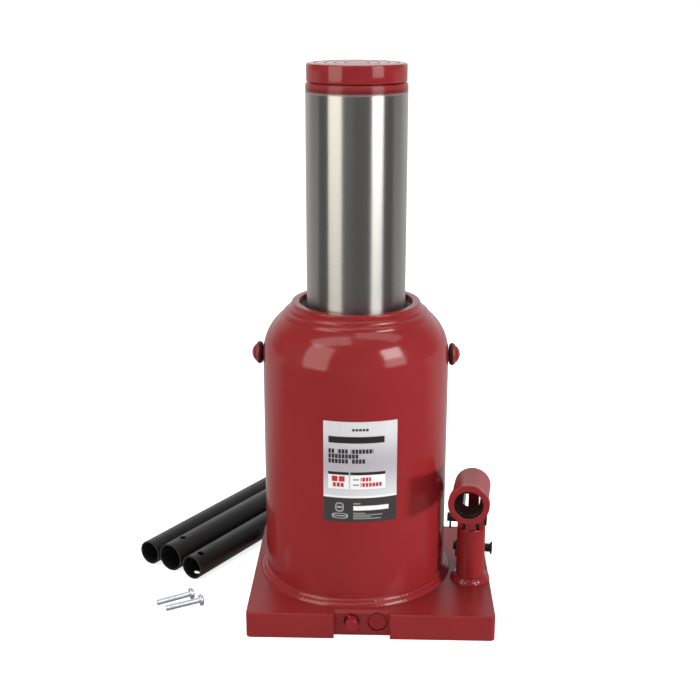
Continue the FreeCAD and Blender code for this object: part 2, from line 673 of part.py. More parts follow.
def lever_bar(radius, start, end):
    """Round bar along the socket's axis, between two distances behind the pump."""
    bar = cylinder(radius, Vector(0, start, SOCKET_FRONT_Z), Vector(0, end, SOCKET_FRONT_Z))
    return socket_frame(bar)


def lever():
    """Handle socket: tube, thick front collar, two ears and the two pins they carry."""
    chamfer = 1.0
    slot = Part.makeBox(2 * EAR_INNER, SOCKET_REAR - SOCKET_SLOT_FRONT + 10, 2 * SOCKET_RADIUS,
                        Vector(-EAR_INNER, SOCKET_SLOT_FRONT, SOCKET_FRONT_Z - 2 * SOCKET_RADIUS))
    tube_front = SOCKET_FRONT + COLLAR_LENGTH
    bore = lever_bar(SOCKET_BORE, SOCKET_FRONT - 5, SOCKET_REAR + 5)
    tube = lever_bar(SOCKET_RADIUS, tube_front, SOCKET_REAR).cut(bore).cut(slot)
    save("socket_tube", at_pump(tube))
    collar = Part.makeCylinder(COLLAR_RADIUS, COLLAR_LENGTH, Vector(0, SOCKET_FRONT, SOCKET_FRONT_Z), BACK)
    rims = [e for e in collar.Edges if len(e.Vertexes) == 1]
    collar = socket_frame(collar.makeFillet(chamfer, rims)).cut(bore)
    save("socket_collar", at_pump(collar))
    skin = lever_bar(SOCKET_RADIUS, SOCKET_FRONT - 20, SOCKET_REAR)
    outline = [
        (-9.0, EAR_BOTTOM_Z),
        (11.0, EAR_BOTTOM_Z),
        (31.0, 84.0),
        (34.5, LINK_PIVOT[1]),
        (32.0, 97.5),
        (LINK_PIVOT[0], 99.8),
        (0.0, 102.0),
        (-12.0, 102.0),
        (-12.0, 74.0),
    ]
    for name, side in (("left", -1), ("right", 1)):
        left = min(side * EAR_INNER, side * EAR_OUTER)
        right = max(side * EAR_INNER, side * EAR_OUTER)
        ear = profile_plate(outline, left, right).cut(skin)
        for pivot in (PLUNGER_PIVOT, LINK_PIVOT):
            ear = ear.cut(cross_bar(PIN_RADIUS, pivot, -30, 30))
        save("socket_ear_" + name, at_pump(keep_largest(ear)))
    pivot_pin("plunger_pin", PLUNGER_PIVOT, PLUNGER_PIN_ENDS)
    pivot_pin("link_pin", LINK_PIVOT, LINK_PIN_ENDS)
    pivot_pin("fulcrum_pin", FULCRUM_PIVOT, FULCRUM_PIN_ENDS)


# ---- valves --------------------------------------------------------------------------

def ball(node, radius, seat_radius, seat_point, direction, gap=0.0):
    """Steel ball on the rim of its seat, or a gap above it."""
    lift = math.sqrt(radius * radius - seat_radius * seat_radius) + gap
    save(node, Part.makeSphere(radius, seat_point + direction * lift))


def release_valve():
    """Release screw with its O-ring and cross pin, and the ball it presses."""
    def at(y):
        return Vector(RELEASE_X, y, RELEASE_Z)
    oring_front = NOTCH_WALL_Y + 2.4
    oring_rear = oring_front + ORING_SECTION
    waist = RELEASE_RADIUS - 0.9
    nose_end = RELEASE_SEAT_Y - 4.75
    stem = cylinder(RELEASE_RADIUS, at(RELEASE_END_Y), at(RELEASE_SHOULDER_Y))
    rims = [e for e in stem.Edges if len(e.Vertexes) == 1 and abs(e.Vertexes[0].Y - RELEASE_END_Y) < 0.01]
    stem = stem.makeFillet(0.6, rims)
    groove = cylinder(RELEASE_RADIUS + 1, at(oring_front), at(oring_rear))
    groove = groove.cut(cylinder(waist, at(oring_front), at(oring_rear)))
    stem = stem.fuse(cylinder(RELEASE_NOSE_RADIUS, at(RELEASE_SHOULDER_Y), at(nose_end)))
    stem = stem.removeSplitter().cut(groove)
    lean = math.radians(CROSS_PIN_TILT)
    half = Vector(-math.sin(lean), 0, math.cos(lean)) * (CROSS_PIN_LENGTH / 2)
    centre_dot = Part.makeCone(0.8, 0.0, 0.8, at(RELEASE_END_Y), BACK)
    pin_hole = cylinder(CROSS_PIN_RADIUS, at(CROSS_PIN_Y) - half * 2, at(CROSS_PIN_Y) + half * 2)
    save("release_screw", stem.cut(pin_hole).cut(centre_dot))
    pin = cylinder(CROSS_PIN_RADIUS, at(CROSS_PIN_Y) - half, at(CROSS_PIN_Y) + half)
    save("release_cross_pin", pin.makeFillet(0.35, [e for e in pin.Edges if len(e.Vertexes) == 1]))
    oring_outer = RELEASE_MOUTH_RADIUS - RUNNING_CLEARANCE
    oring = cylinder(oring_outer, at(oring_front), at(oring_rear))
    save("release_o_ring", oring.cut(cylinder(waist, at(oring_front), at(oring_rear))))
    ball("release_ball", RELEASE_BALL_RADIUS, 1.5, at(RELEASE_SEAT_Y), FRONT)


def helical_spring(coil_radius, wire_radius, length, turns):
    """Compression spring along +Z from the origin."""
    helix = Part.makeHelix(length / turns, length, coil_radius)
    start = Part.Wire(Part.makeCircle(wire_radius, Vector(coil_radius, 0, 0), FRONT))
    return Part.Wire(helix.Edges).makePipeShell([start], True, True)


def overload_valve():
    """Overload valve: slotted plug, spring and ball."""
    def at(y):
        return Vector(OVERLOAD_X, y, OVERLOAD_Z)
    plug_front = NOTCH_WALL_Y + 0.7
    plug_rear = NOTCH_WALL_Y + 8.8
    plug = cylinder(OVERLOAD_PLUG_RADIUS, at(plug_front), at(plug_rear))
    rims = [e for e in plug.Edges if len(e.Vertexes) == 1 and e.Vertexes[0].Y < plug_front + 0.01]
    plug = plug.makeFillet(0.5, rims)
    hexagon = Part.makePolygon([
        Vector(OVERLOAD_X + 2.3 * math.cos(k * math.pi / 3), plug_rear,
               OVERLOAD_Z + 2.3 * math.sin(k * math.pi / 3)) for k in range(7)])
    plug = plug.cut(Part.Face(hexagon).extrude(Vector(0, -3, 0)))
    save("overload_plug", plug)
    lift = math.sqrt(CHECK_BALL_RADIUS ** 2 - CHECK_SEAT_RADIUS ** 2)
    ball_front = OVERLOAD_SEAT_Y - lift - CHECK_BALL_RADIUS
    follower = cylinder(OVERLOAD_BORE - 0.2, at(ball_front - 2.0), at(ball_front - 0.1))
    save("overload_follower", follower)
    wire = 0.7
    length = ball_front - 2.0 - plug_rear - 2 * wire - 0.2
    spring = helical_spring(2.8, wire, length, 6)
    spring.rotate(ORIGIN, RIGHT, -90)
    spring.translate(at(plug_rear + wire + 0.1))
    save("overload_spring", spring)
    ball("overload_ball", CHECK_BALL_RADIUS, CHECK_SEAT_RADIUS, at(OVERLOAD_SEAT_Y), FRONT)


def check_valves():
    suction = Vector(PUMP_X, PUMP_Y, SUCTION_SEAT_Z)
    delivery = Vector(DELIVERY_X, PUMP_Y, DELIVERY_SEAT_Z)
    ball("suction_ball", CHECK_BALL_RADIUS, CHECK_SEAT_RADIUS, suction, UP, CHECK_BALL_GAP)
    ball("delivery_ball", CHECK_BALL_RADIUS, CHECK_SEAT_RADIUS, delivery, UP, CHECK_BALL_GAP)
    strainer = Part.makeCylinder(4.0, 1.0, Vector(64.0, -12.0, BASE_HEIGHT))
    save("oil_strainer", strainer)


# ---- bail handle, filler plug and label ----------------------------------------------

def bail_studs():
    """Two studs welded to the reservoir, each with a domed head."""
    dome_height = 3.5
    for name, side in (("left", -1), ("right", 1)):
        root = Vector(side * (RESERVOIR_RADIUS - RESERVOIR_WALL), 0, STUD_Z)
        head_x = STUD_TIP_X - dome_height
        shaft = cylinder(STUD_SHAFT_RADIUS, root, Vector(side * head_x, 0, STUD_Z))
        sphere_radius = (STUD_HEAD_RADIUS ** 2 + dome_height ** 2) / (2 * dome_height)
        sphere = Part.makeSphere(sphere_radius, Vector(side * (STUD_TIP_X - sphere_radius), 0, STUD_Z))
        disc = cylinder(STUD_HEAD_RADIUS, Vector(side * head_x, 0, STUD_Z),
                        Vector(side * (STUD_TIP_X + 1), 0, STUD_Z))
        save("bail_stud_" + name, shaft.fuse(sphere.common(disc)).removeSplitter())


def bail_handle():
    """Carrying bail: one bent rod with an eye at each end, swung down behind."""
    wire = BAIL_WIRE_RADIUS
    bow = Part.makeTorus(BAIL_PLANE_X, wire, Vector(0, BAIL_LEG, 0), UP)
    half_space = Part.makeBox(400, 200, 40, Vector(-200, BAIL_LEG, -20))
    shape = bow.common(half_space)
    for side in (-1, 1):
        centre = Vector(side * BAIL_PLANE_X, 0, 0)
        leg = cylinder(wire, centre + Vector(0, BAIL_EYE_RADIUS, 0), centre + Vector(0, BAIL_LEG, 0))
        shape = shape.fuse(leg)
        shape = shape.fuse(Part.makeTorus(BAIL_EYE_RADIUS, wire, centre, RIGHT))
    shape.rotate(ORIGIN, RIGHT, -BAIL_DROOP)
    shape.translate(Vector(0, 0, STUD_Z))
    save("bail_handle", shape)


def filler_plug():
    """Rubber oil filler plug in the reservoir's back."""
    def at(y):
        return Vector(0, y, FILLER_Z)
    inner = RESERVOIR_RADIUS - RESERVOIR_WALL
    head_start = RESERVOIR_RADIUS + 0.3
    plug = cylinder(FILLER_STEM_RADIUS, at(inner - 3), at(head_start))
    head = cylinder(FILLER_HEAD_RADIUS, at(head_start), at(head_start + 3))
    rims = [e for e in head.Edges if len(e.Vertexes) == 1 and e.Vertexes[0].Y > head_start + 1]
    head = head.makeFillet(1.2, rims)
    save("filler_plug", plug.fuse(head).removeSplitter())


def label_plate():
    """Thin rating plate wrapped round the reservoir's front."""
    low, high = LABEL_HEIGHTS
    start, end = LABEL_ANGLES
    height = high - low
    outer = Part.makeCylinder(RESERVOIR_RADIUS + LABEL_THICKNESS, height, Vector(0, 0, low), UP, end - start)
    inner = Part.makeCylinder(RESERVOIR_RADIUS, height, Vector(0, 0, low), UP, 360)
    plate = outer.cut(inner)
    plate.rotate(ORIGIN, UP, start - 90)
    save("label_plate", plate)


# ---- loose pump handle and screws ----------------------------------------------------

def handle_sections():
    """Three tubes side by side on the ground, drilled across near their ends.

    The rear one is drilled at its far end only, and the front one lies a little rolled over.
    """
    turn = math.radians(HANDLE_AZIMUTH)
    along = Vector(math.sin(turn), math.cos(turn), 0)
    across = Vector(math.cos(turn), -math.sin(turn), 0)
    middle = Vector(HANDLE_END[0], HANDLE_END[1], 0)
    roll = math.radians(HANDLE_FRONT_ROLL)
    rolled = UP * math.cos(roll) + across * math.sin(roll)
    far = HANDLE_LENGTH
    sections = (
        ("handle_section_rear", HANDLE_SMALL, HANDLE_REAR_OFFSET, (far - 13.0,), UP),
        ("handle_section_middle", HANDLE_LARGE, (0.0, 0.0), (17.7, far - 17.7), UP),
        ("handle_section_front", HANDLE_SMALL, HANDLE_FRONT_OFFSET, (9.7, far - 9.7), rolled),
    )
    for node, (outer, inner), offset, holes, hole_axis in sections:
        start = middle + across * offset[0] + along * offset[1] + UP * outer
        end = start + along * HANDLE_LENGTH
        tube = cylinder(outer, start, end).cut(cylinder(inner, start, end))
        for distance in holes:
            centre = start + along * distance
            reach = hole_axis * (outer + 2)
            tube = tube.cut(cylinder(HANDLE_HOLE_RADIUS, centre - reach, centre + reach))
        save(node, tube)


def handle_screw():
    """Pan-head screw along +X from its tip, with a cross recess in its head."""
    tip = 0.8
    shank = cylinder(SCREW_RADIUS, Vector(tip, 0, 0), Vector(SCREW_LENGTH, 0, 0))
    point = Part.makeCone(SCREW_RADIUS - tip, SCREW_RADIUS, tip, ORIGIN, RIGHT)
    head = cylinder(SCREW_HEAD_RADIUS, Vector(SCREW_LENGTH, 0, 0),
                    Vector(SCREW_LENGTH + SCREW_HEAD_HEIGHT, 0, 0))
    rims = [e for e in head.Edges if len(e.Vertexes) == 1 and e.Vertexes[0].X > SCREW_LENGTH + 1]
    head = head.makeFillet(1.6, rims)
    screw = shank.fuse(point).fuse(head).removeSplitter()
    for size in ((6.0, 1.1), (1.1, 6.0)):
        place = Vector(SCREW_LENGTH + SCREW_HEAD_HEIGHT - 1.8, -size[0] / 2, -size[1] / 2)
        screw = screw.cut(Part.makeBox(3, size[0], size[1], place))
    return screw


def handle_screws():
    """The two loose screws, each lying on its head's rim and its tip."""
    dip = math.degrees(math.asin((SCREW_HEAD_RADIUS - SCREW_RADIUS) / SCREW_LENGTH))
    screws = []
    for (x, y), azimuth in zip(SCREW_TIPS, SCREW_AZIMUTHS):
        screw = handle_screw()
        screw.rotate(ORIGIN, BACK, -dip)
        screw.rotate(ORIGIN, UP, 90 - azimuth)
        screw.translate(Vector(x, y, -screw.BoundBox.ZMin))
        screws.append(screw)
    save("handle_screws", Part.makeCompound(screws))


os.makedirs("parts", exist_ok=True)
base_plate()
delivery_plug()
reservoir_shell()
welds()
cylinder_tube()
gland()
ram()
saddle()
pump_cylinder()
plunger()
fulcrum()
lever()
release_valve()
overload_valve()
check_valves()
bail_studs()
bail_handle()
filler_plug()
label_plate()
handle_sections()
handle_screws()
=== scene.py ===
"""Looks of the hydraulic bottle jack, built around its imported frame. Metres, +Z up."""

import json
import math

import bmesh
import bpy
import numpy as np
from mathutils import Matrix, Vector

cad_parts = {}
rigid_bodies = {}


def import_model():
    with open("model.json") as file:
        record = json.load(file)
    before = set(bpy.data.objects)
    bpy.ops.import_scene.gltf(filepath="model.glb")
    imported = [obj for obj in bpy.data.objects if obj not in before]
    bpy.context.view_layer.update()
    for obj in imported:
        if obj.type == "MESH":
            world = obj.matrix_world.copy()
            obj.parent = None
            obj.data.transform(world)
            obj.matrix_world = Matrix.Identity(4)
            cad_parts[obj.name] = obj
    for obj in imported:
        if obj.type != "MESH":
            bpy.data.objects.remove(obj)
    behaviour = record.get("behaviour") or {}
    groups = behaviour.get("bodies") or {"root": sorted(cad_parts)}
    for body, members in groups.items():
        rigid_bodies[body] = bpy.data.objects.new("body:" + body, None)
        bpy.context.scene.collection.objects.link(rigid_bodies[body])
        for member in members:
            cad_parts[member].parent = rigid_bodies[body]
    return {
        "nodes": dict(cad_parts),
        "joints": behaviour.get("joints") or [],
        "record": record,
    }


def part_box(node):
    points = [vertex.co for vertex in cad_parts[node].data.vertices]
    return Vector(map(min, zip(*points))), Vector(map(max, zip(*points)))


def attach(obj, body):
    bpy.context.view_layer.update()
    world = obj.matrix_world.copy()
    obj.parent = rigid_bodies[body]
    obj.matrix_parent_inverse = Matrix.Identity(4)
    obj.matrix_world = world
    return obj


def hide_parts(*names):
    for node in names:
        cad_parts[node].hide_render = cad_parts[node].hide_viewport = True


ORIGIN = Vector((0, 0, 0))
UP = Vector((0, 0, 1))
MM = 0.001

# Camera: where it stands, how it is turned, and its lens on a 36 mm sensor.
CAMERA_PLACE = Vector((0.0231, -0.9641, 0.5060))
CAMERA_YAW = 0.029
CAMERA_PITCH = -0.292
CAMERA_ROLL = 0.002
CAMERA_LENS = 62.24

# Linear colours of the finishes.
RED = (0.240, 0.0165, 0.0180, 1)
RED_THIN = (0.226, 0.0150, 0.0165, 1)
STEEL = (0.545, 0.535, 0.515, 1)
STEEL_DARK = (0.49, 0.48, 0.46, 1)
BLACK = (0.010, 0.010, 0.0105, 1)
BLACK_WORN = (0.016, 0.015, 0.015, 1)
# Lighter brown of the tubes' end rims: rubbed paint, and a painted glint.
BLACK_RUBBED_GLINT = (0.030, 0.025, 0.022, 1)
ZINC = (0.88, 0.92, 0.96, 1)
ZINC_DULL = (0.72, 0.78, 0.84, 1)
TURNED_FILMED = (0.30, 0.30, 0.30, 1)
TURNED_BARE = (0.46, 0.46, 0.45, 1)
# Darker steel of the gland nut: painted shade of the gap round the ram.
GAP_SHADE_FILMED = (0.10, 0.095, 0.09, 1)
GAP_SHADE_BARE = (0.20, 0.19, 0.18, 1)
OVERSPRAY_ON_STEEL = (0.12, 0.007, 0.009, 1)
OVERSPRAY_IN_BORE = (0.12, 0.010, 0.011, 1)
# Near-black colours inside the socket's bore: bare steel, darkened with painted shade of the recess.
BORE_SHADE_DARK = (0.007, 0.0065, 0.0065, 1)
BORE_SHADE_BROWN = (0.013, 0.010, 0.010, 1)
COPPER = (0.62, 0.34, 0.17, 1)
COPPER_DULL = (0.30, 0.16, 0.09, 1)
RUBBER = (0.012, 0.012, 0.012, 1)
RUBBER_WORN = (0.022, 0.021, 0.020, 1)
GUIDE = (0.62, 0.55, 0.42, 1)
GUIDE_WORN = (0.55, 0.49, 0.38, 1)
FLOOR_GREY = (0.82, 0.82, 0.82, 1)

# Linear colours of the printed plate.
FOIL_MIDDLE = (0.37, 0.345, 0.375, 1)
FOIL_ENDS = (0.62, 0.62, 0.64, 1)
FOIL_BRUSHED = (0.48, 0.47, 0.50, 1)
INK = (0.012, 0.011, 0.012, 1)
INK_THIN = (0.022, 0.020, 0.021, 1)
PRINT_WHITE = (0.78, 0.78, 0.77, 1)
PRINT_RED = (0.45, 0.02, 0.02, 1)
PRINT_GREY = (0.25, 0.25, 0.26, 1)
BAND_BLACK = (0.040, 0.036, 0.037, 1)
BAND_GREY = (0.30, 0.29, 0.29, 1)
BADGE_GREY = (0.36, 0.35, 0.35, 1)

# Colours of the lamps.
LAMP_WHITE = (1, 1, 1)
LAMP_SOFT = (1, 0.99, 0.98)
LAMP_MILD = (1, 0.98, 0.95)
LAMP_WARM = (1, 0.95, 0.85)

# Sizes of the jack that its frame's boxes do not give.
SHELL_WALL = 4.5 * MM
SHOULDER_CURVE = 41.0 * MM
FILLER_HOLE = 5.3 * MM
TUBE_BORE = 46.45 * MM
RAM_RADIUS = 40.35 * MM
SPIGOT_RADIUS = 14.0 * MM
SPIGOT_DEPTH = 18.0 * MM
SADDLE_HEIGHT = 14.0 * MM
SADDLE_GROOVES = (9.6 * MM, 17.5 * MM, 25.4 * MM, 33.2 * MM)
GROOVE_DEPTH = 1.2 * MM
PUMP_BORE = 6.7 * MM
PLATE_THICKNESS = 0.35 * MM

# Height of the paint band that runs over from the saddle onto the ram.
PAINT_BAND = 7.2 * MM

# How far the passes of the two large welds stand out.
FOOT_SWELL = 0.42 * MM
SHOULDER_SWELL = 0.70 * MM

# Wire bail: its rod, the eye and leg at each end, and how far it droops.
BAIL_RADIUS = 2.75 * MM
BAIL_EYE = 6.65 * MM
BAIL_LEG = 9.0 * MM
BAIL_DROOP = math.radians(-25.0)

# Loose screws: shank, thread, pan head and its cross slots.
SCREW_RADIUS = 2.5 * MM
SCREW_HEAD_RADIUS = 4.9 * MM
SCREW_HEAD_HEIGHT = 3.4 * MM
THREAD_PITCH = 0.8 * MM
THREAD_DEPTH = 0.24 * MM
SLOT_LENGTH = 6.0 * MM
SLOT_WIDTH = 1.1 * MM
SLOT_DEPTH = 3.0 * MM

# Strength of the even light that falls from all sides.
WORLD_SOFT = 0.44

# Floor: its radius in metres, its gap below the jack, and its glow to the camera.
FLOOR_RADIUS = 30.0
FLOOR_GAP = 0.2 * MM
FLOOR_GLOW = 0.8

# Turn of the noise pattern, so that its grid does not line up with flat faces.
NOISE_TURN = (0.61, 0.37, 0.83)

# Round pieces: points round a large and a small circle.
FINE = 256
COARSE = 96

# An edge that turns by more than this many degrees stays sharp.
SHARP_EDGE = 40


# ---- node graphs ---------------------------------------------------------------------

class Graph:
    """Writes one material's nodes; a value may be a number or another node's output."""

    def __init__(self, name):
        self.material = bpy.data.materials.new(name)
        self.material.use_nodes = True
        self.tree = self.material.node_tree
        self.shader = self.tree.nodes["Principled BSDF"]
        self.place = self.node("ShaderNodeTexCoord").outputs["Object"]
        turning = {"Vector": self.place, "Rotation": NOISE_TURN}
        self.turned = self.node("ShaderNodeMapping", None, turning).outputs[0]

    def feed(self, value, socket):
        if isinstance(value, bpy.types.NodeSocket):
            self.tree.links.new(value, socket)
        else:
            socket.default_value = value

    def node(self, kind, settings=None, inputs=None):
        made = self.tree.nodes.new(kind)
        for key, value in (settings or {}).items():
            setattr(made, key, value)
        for key, value in (inputs or {}).items():
            self.feed(value, made.inputs[key])
        return made

    def set(self, inputs):
        for key, value in inputs.items():
            self.feed(value, self.shader.inputs[key])

    def math(self, operation, first, second=0.0):
        made = self.node("ShaderNodeMath", {"operation": operation}, {0: first, 1: second})
        return made.outputs[0]

    def split(self, vector=None):
        made = self.node("ShaderNodeSeparateXYZ", None, {0: vector or self.place})
        return made.outputs[0], made.outputs[1], made.outputs[2]

    def join(self, x, y, z):
        return self.node("ShaderNodeCombineXYZ", None, {0: x, 1: y, 2: z}).outputs[0]

    def noise(self, scale, detail=3.0, place=None, roughness=0.5):
        """Cloudy noise, 0 to 1, with about `scale` patches to the metre."""
        inputs = {"Vector": place or self.turned, "Scale": scale, "Detail": detail, "Roughness": roughness}
        return self.node("ShaderNodeTexNoise", None, inputs).outputs["Fac"]

    def fade(self, value, low, high, start=0.0, end=1.0):
        """Smooth change from start to end while the value goes from low to high."""
        settings = {"interpolation_type": "SMOOTHSTEP"}
        inputs = {"Value": value, "From Min": low, "From Max": high, "To Min": start, "To Max": end}
        return self.node("ShaderNodeMapRange", settings, inputs).outputs[0]

    def mix(self, factor, first, second):
        settings = {"data_type": "RGBA"}
        return self.node("ShaderNodeMix", settings, {0: factor, 6: first, 7: second}).outputs[2]

    def bump(self, height, distance, strength=1.0, normal=None):
        inputs = {"Height": height, "Distance": distance, "Strength": strength}
        if normal is not None:
            inputs["Normal"] = normal
        return self.node("ShaderNodeBump", None, inputs).outputs[0]

    def around(self):
        """(angle about the ram's axis from the front, to the right; height) of a point."""
        x, y, z = self.split()
        return self.math("ARCTAN2", x, self.math("MULTIPLY", y, -1.0)), z


# ---- finishes ------------------------------------------------------------------------

def red_enamel(name, low, high, peel_scale, peel, shine=0.5):
    """Sprayed enamel with a slow change of shade; low and high bound its roughness.

    Its orange peel has peel_scale bumps to the metre, peel metres high.
    """
    g = Graph(name)
    cloud = g.fade(g.noise(9.0, 3.0), 0.35, 0.65)
    g.set({
        "Base Color": g.mix(cloud, RED_THIN, RED),
        "Roughness": g.fade(g.noise(35.0, 3.0), 0.3, 0.7, low, high),
        "Normal": g.bump(g.noise(peel_scale, 1.0), peel, 0.5),
        "Specular IOR Level": shine,
    })
    return g.material


def ground_steel(band_height):
    """Steel ground round the ram's axis, with paint sprayed over its top edge."""
    g = Graph("ground_steel")
    angle, z = g.around()
    grain = g.noise(1300.0, 2.0)
    lines = g.noise(1.0, 2.0, g.join(g.math("MULTIPLY", angle, 4.0), 0.0, g.math("MULTIPLY", z, 5200.0)))
    mist = g.math("MULTIPLY", g.math("SUBTRACT", g.noise(1500.0, 4.0, None, 0.6), 0.5), 4.5 * MM)
    paint = g.fade(g.math("ADD", z, mist), band_height - 1.5 * MM, band_height + 1.2 * MM)
    thick = g.fade(z, band_height + 2.0 * MM, band_height + 5.0 * MM)
    steel = g.mix(g.fade(grain, 0.3, 0.7), STEEL_DARK, STEEL)
    red = g.mix(thick, OVERSPRAY_ON_STEEL, RED)
    tangent = g.node("ShaderNodeTangent", {"direction_type": "RADIAL", "axis": "Z"})
    height = g.math("MULTIPLY", g.math("ADD", lines, grain), g.math("SUBTRACT", 1.0, paint))
    g.set({
        "Base Color": g.mix(paint, steel, red),
        "Metallic": g.math("SUBTRACT", 1.0, paint),
        "Roughness": g.fade(g.math("ADD", grain, lines), 0.7, 1.3, 0.30, 0.33),
        "Anisotropic": 1.0,
        "Anisotropic Rotation": 0.25,
        "Tangent": tangent.outputs[0],
        "Normal": g.bump(height, 0.0015 * MM, 0.3),
    })
    return g.material


def machined_steel(name, filmed, bare):
    """Turned steel with an oily film; filmed and bare are its two shades."""
    g = Graph(name)
    x, y, z = g.split()
    rings = g.noise(1.0, 2.0, g.join(g.math("MULTIPLY", x, 300.0), g.math("MULTIPLY", y, 300.0),
                                     g.math("MULTIPLY", z, 2500.0)))
    film = g.fade(g.noise(120.0, 3.0), 0.35, 0.7)
    g.set({
        "Base Color": g.mix(film, filmed, bare),
        "Metallic": 1.0,
        "Roughness": g.fade(rings, 0.2, 0.8, 0.29, 0.42),
        "Normal": g.bump(rings, 0.03 * MM, 0.4),
    })
    return g.material


def black_finish(name, low, high):
    """Black paint or oxide with slight orange peel; low and high bound its roughness."""
    g = Graph(name)
    worn = g.fade(g.noise(70.0, 4.0), 0.55, 0.75)
    g.set({
        "Base Color": g.mix(worn, BLACK, BLACK_WORN),
        "Roughness": g.fade(g.noise(45.0, 3.0), 0.3, 0.7, low, high),
        "Normal": g.bump(g.noise(420.0, 2.0), 0.04 * MM, 0.3),
    })
    return g.material


def bail_finish(change_x):
    """Black rod with red overspray on the side that faces away from the jack."""
    g = Graph("bail_finish")
    x, y, _ = g.split()
    side = g.math("ADD", g.math("ABSOLUTE", x), g.math("MULTIPLY", g.noise(600.0, 3.0), 0.8 * MM))
    near_eye = g.fade(y, 10 * MM, 16 * MM, 1.0, 0.0)
    spray = g.math("MULTIPLY", g.fade(side, change_x, change_x + 0.8 * MM), near_eye)
    g.set({
        "Base Color": g.mix(spray, BLACK_WORN, RED),
        "Roughness": g.fade(g.noise(80.0, 3.0), 0.3, 0.7, 0.28, 0.42),
        "Normal": g.bump(g.noise(500.0, 3.0), 0.05 * MM, 0.4),
    })
    return g.material


def zinc_plate():
    """Bright bluish zinc with dull patches."""
    g = Graph("zinc_plate")
    dull = g.fade(g.noise(500.0, 4.0), 0.45, 0.7)
    g.set({
        "Base Color": g.mix(dull, ZINC, ZINC_DULL),
        "Metallic": 0.85,
        "Roughness": g.fade(dull, 0.0, 1.0, 0.34, 0.50),
        "Normal": g.bump(g.noise(2500.0, 2.0), 0.01 * MM, 0.4),
    })
    return g.material


def matte(name, colour, second, roughness, scale):
    """Plain matte stuff, such as rubber, with fine grain."""
    g = Graph(name)
    grain = g.noise(scale, 4.0)
    g.set({
        "Base Color": g.mix(g.fade(grain, 0.35, 0.65), colour, second),
        "Roughness": g.fade(grain, 0.3, 0.7, roughness - 0.06, roughness + 0.06),
        "Normal": g.bump(grain, 0.05 * MM, 0.4),
    })
    return g.material


def bore_finish(mount):
    """Bare steel of a bore, darkened with painted shade, with red overspray that thins out behind its mouth.
    """
    g = Graph("bore_painted_shade")
    mouth = Vector(mount["pos_m"])
    axis = Vector(mount["axis"])
    x, y, z = g.split()
    terms = [g.math("MULTIPLY", value, share) for value, share in zip((x, y, z), axis)]
    along = g.math("ADD", g.math("ADD", terms[0], terms[1]), terms[2])
    depth = g.math("ABSOLUTE", g.math("SUBTRACT", along, mouth.dot(axis)))
    ragged = g.math("ADD", depth, g.math("MULTIPLY", g.math("SUBTRACT", g.noise(350.0, 4.0), 0.5), 8.0 * MM))
    grain = g.noise(300.0, 4.0)
    # Painted shade: the bore's bare steel is coloured near-black.
    bare = g.mix(grain, BORE_SHADE_DARK, BORE_SHADE_BROWN)
    g.set({
        "Base Color": g.mix(g.fade(ragged, 1.0 * MM, 15.0 * MM), OVERSPRAY_IN_BORE, bare),
        "Roughness": g.fade(grain, 0.3, 0.7, 0.72, 0.86),
        "Normal": g.bump(grain, 0.05 * MM, 0.4),
        "Specular IOR Level": 0.15,
    })
    return g.material


def plunger_finish(paint_height):
    """Ground rod, with its tang painted together with the rest of the pump."""
    g = Graph("plunger_finish")
    z = g.split()[2]
    grain = g.noise(900.0, 2.0)
    paint = g.fade(z, paint_height, paint_height + 0.4 * MM)
    g.set({
        "Base Color": g.mix(paint, g.mix(grain, STEEL_DARK, STEEL), RED_THIN),
        "Metallic": g.math("SUBTRACT", 1.0, paint),
        "Roughness": g.fade(grain, 0.3, 0.7, 0.29, 0.36),
        "Normal": g.bump(grain, 0.02 * MM, 0.3),
    })
    return g.material


def copper_alloy():
    """Copper washer metal with a dull tarnish."""
    g = Graph("copper_alloy")
    tarnish = g.fade(g.noise(150.0, 4.0), 0.4, 0.7)
    g.set({
        "Base Color": g.mix(tarnish, COPPER, COPPER_DULL),
        "Metallic": 1.0,
        "Roughness": g.fade(tarnish, 0.0, 1.0, 0.30, 0.50),
        "Normal": g.bump(g.noise(900.0, 2.0), 0.02 * MM, 0.4),
    })
    return g.material


# Printed plate: blocks as (left, right, top, bottom) shares of its width and height.
PLATE_SOFT_EDGE = 0.003
PLATE_HEADLINE = (0.07, 0.82, 0.145, 0.210)
PLATE_TOP_LINE = (0.385, 0.605, 0.066, 0.090)
PLATE_LETTER_PITCH = 0.0454
# A line is the ends of its words, left and right in turn, then its top and bottom.
PLATE_LINES = [
    ((0.07, 0.155, 0.19, 0.33, 0.37, 0.67), 0.268, 0.311),
    ((0.07, 0.478), 0.317, 0.359),
    ((0.07, 0.34, 0.38, 0.565), 0.366, 0.409),
]
PLATE_BOXES = [(0.065, 0.345), (0.365, 0.835)]
PLATE_BOX_TOP = 0.495
PLATE_BOX_HEAD = 0.525
PLATE_BOX_BOTTOM = 0.665
PLATE_BOX_BLOCKS = [
    (0.115, 0.195, 0.537, 0.592),
    (0.210, 0.290, 0.537, 0.592),
    (0.130, 0.172, 0.603, 0.645),
    (0.182, 0.224, 0.603, 0.645),
    (0.234, 0.276, 0.603, 0.645),
]
PLATE_BOX_WORDS = [
    (0.50, 0.64, 0.548, 0.588),
    (0.50, 0.79, 0.602, 0.642),
]
PLATE_BOX_GREY_BARS = [
    (0.40, 0.48, 0.562, 0.578),
    (0.40, 0.48, 0.615, 0.631),
]
PLATE_BAND_TOP = 0.755
PLATE_RULE_TOP = 0.735
PLATE_BAND_BAR = (0.405, 0.885, 0.835, 0.880)
PLATE_BAND_LINES = [
    (0.405, 0.500, 0.805, 0.818),
    (0.405, 0.560, 0.905, 0.914),
    (0.405, 0.800, 0.923, 0.932),
    (0.405, 0.640, 0.941, 0.950),
    (0.405, 0.780, 0.959, 0.968),
]
# A badge is its centre across and down, then its half width and half height.
PLATE_BADGES = [(0.22, 0.850, 0.058, 0.046), (0.225, 0.938, 0.110, 0.028)]


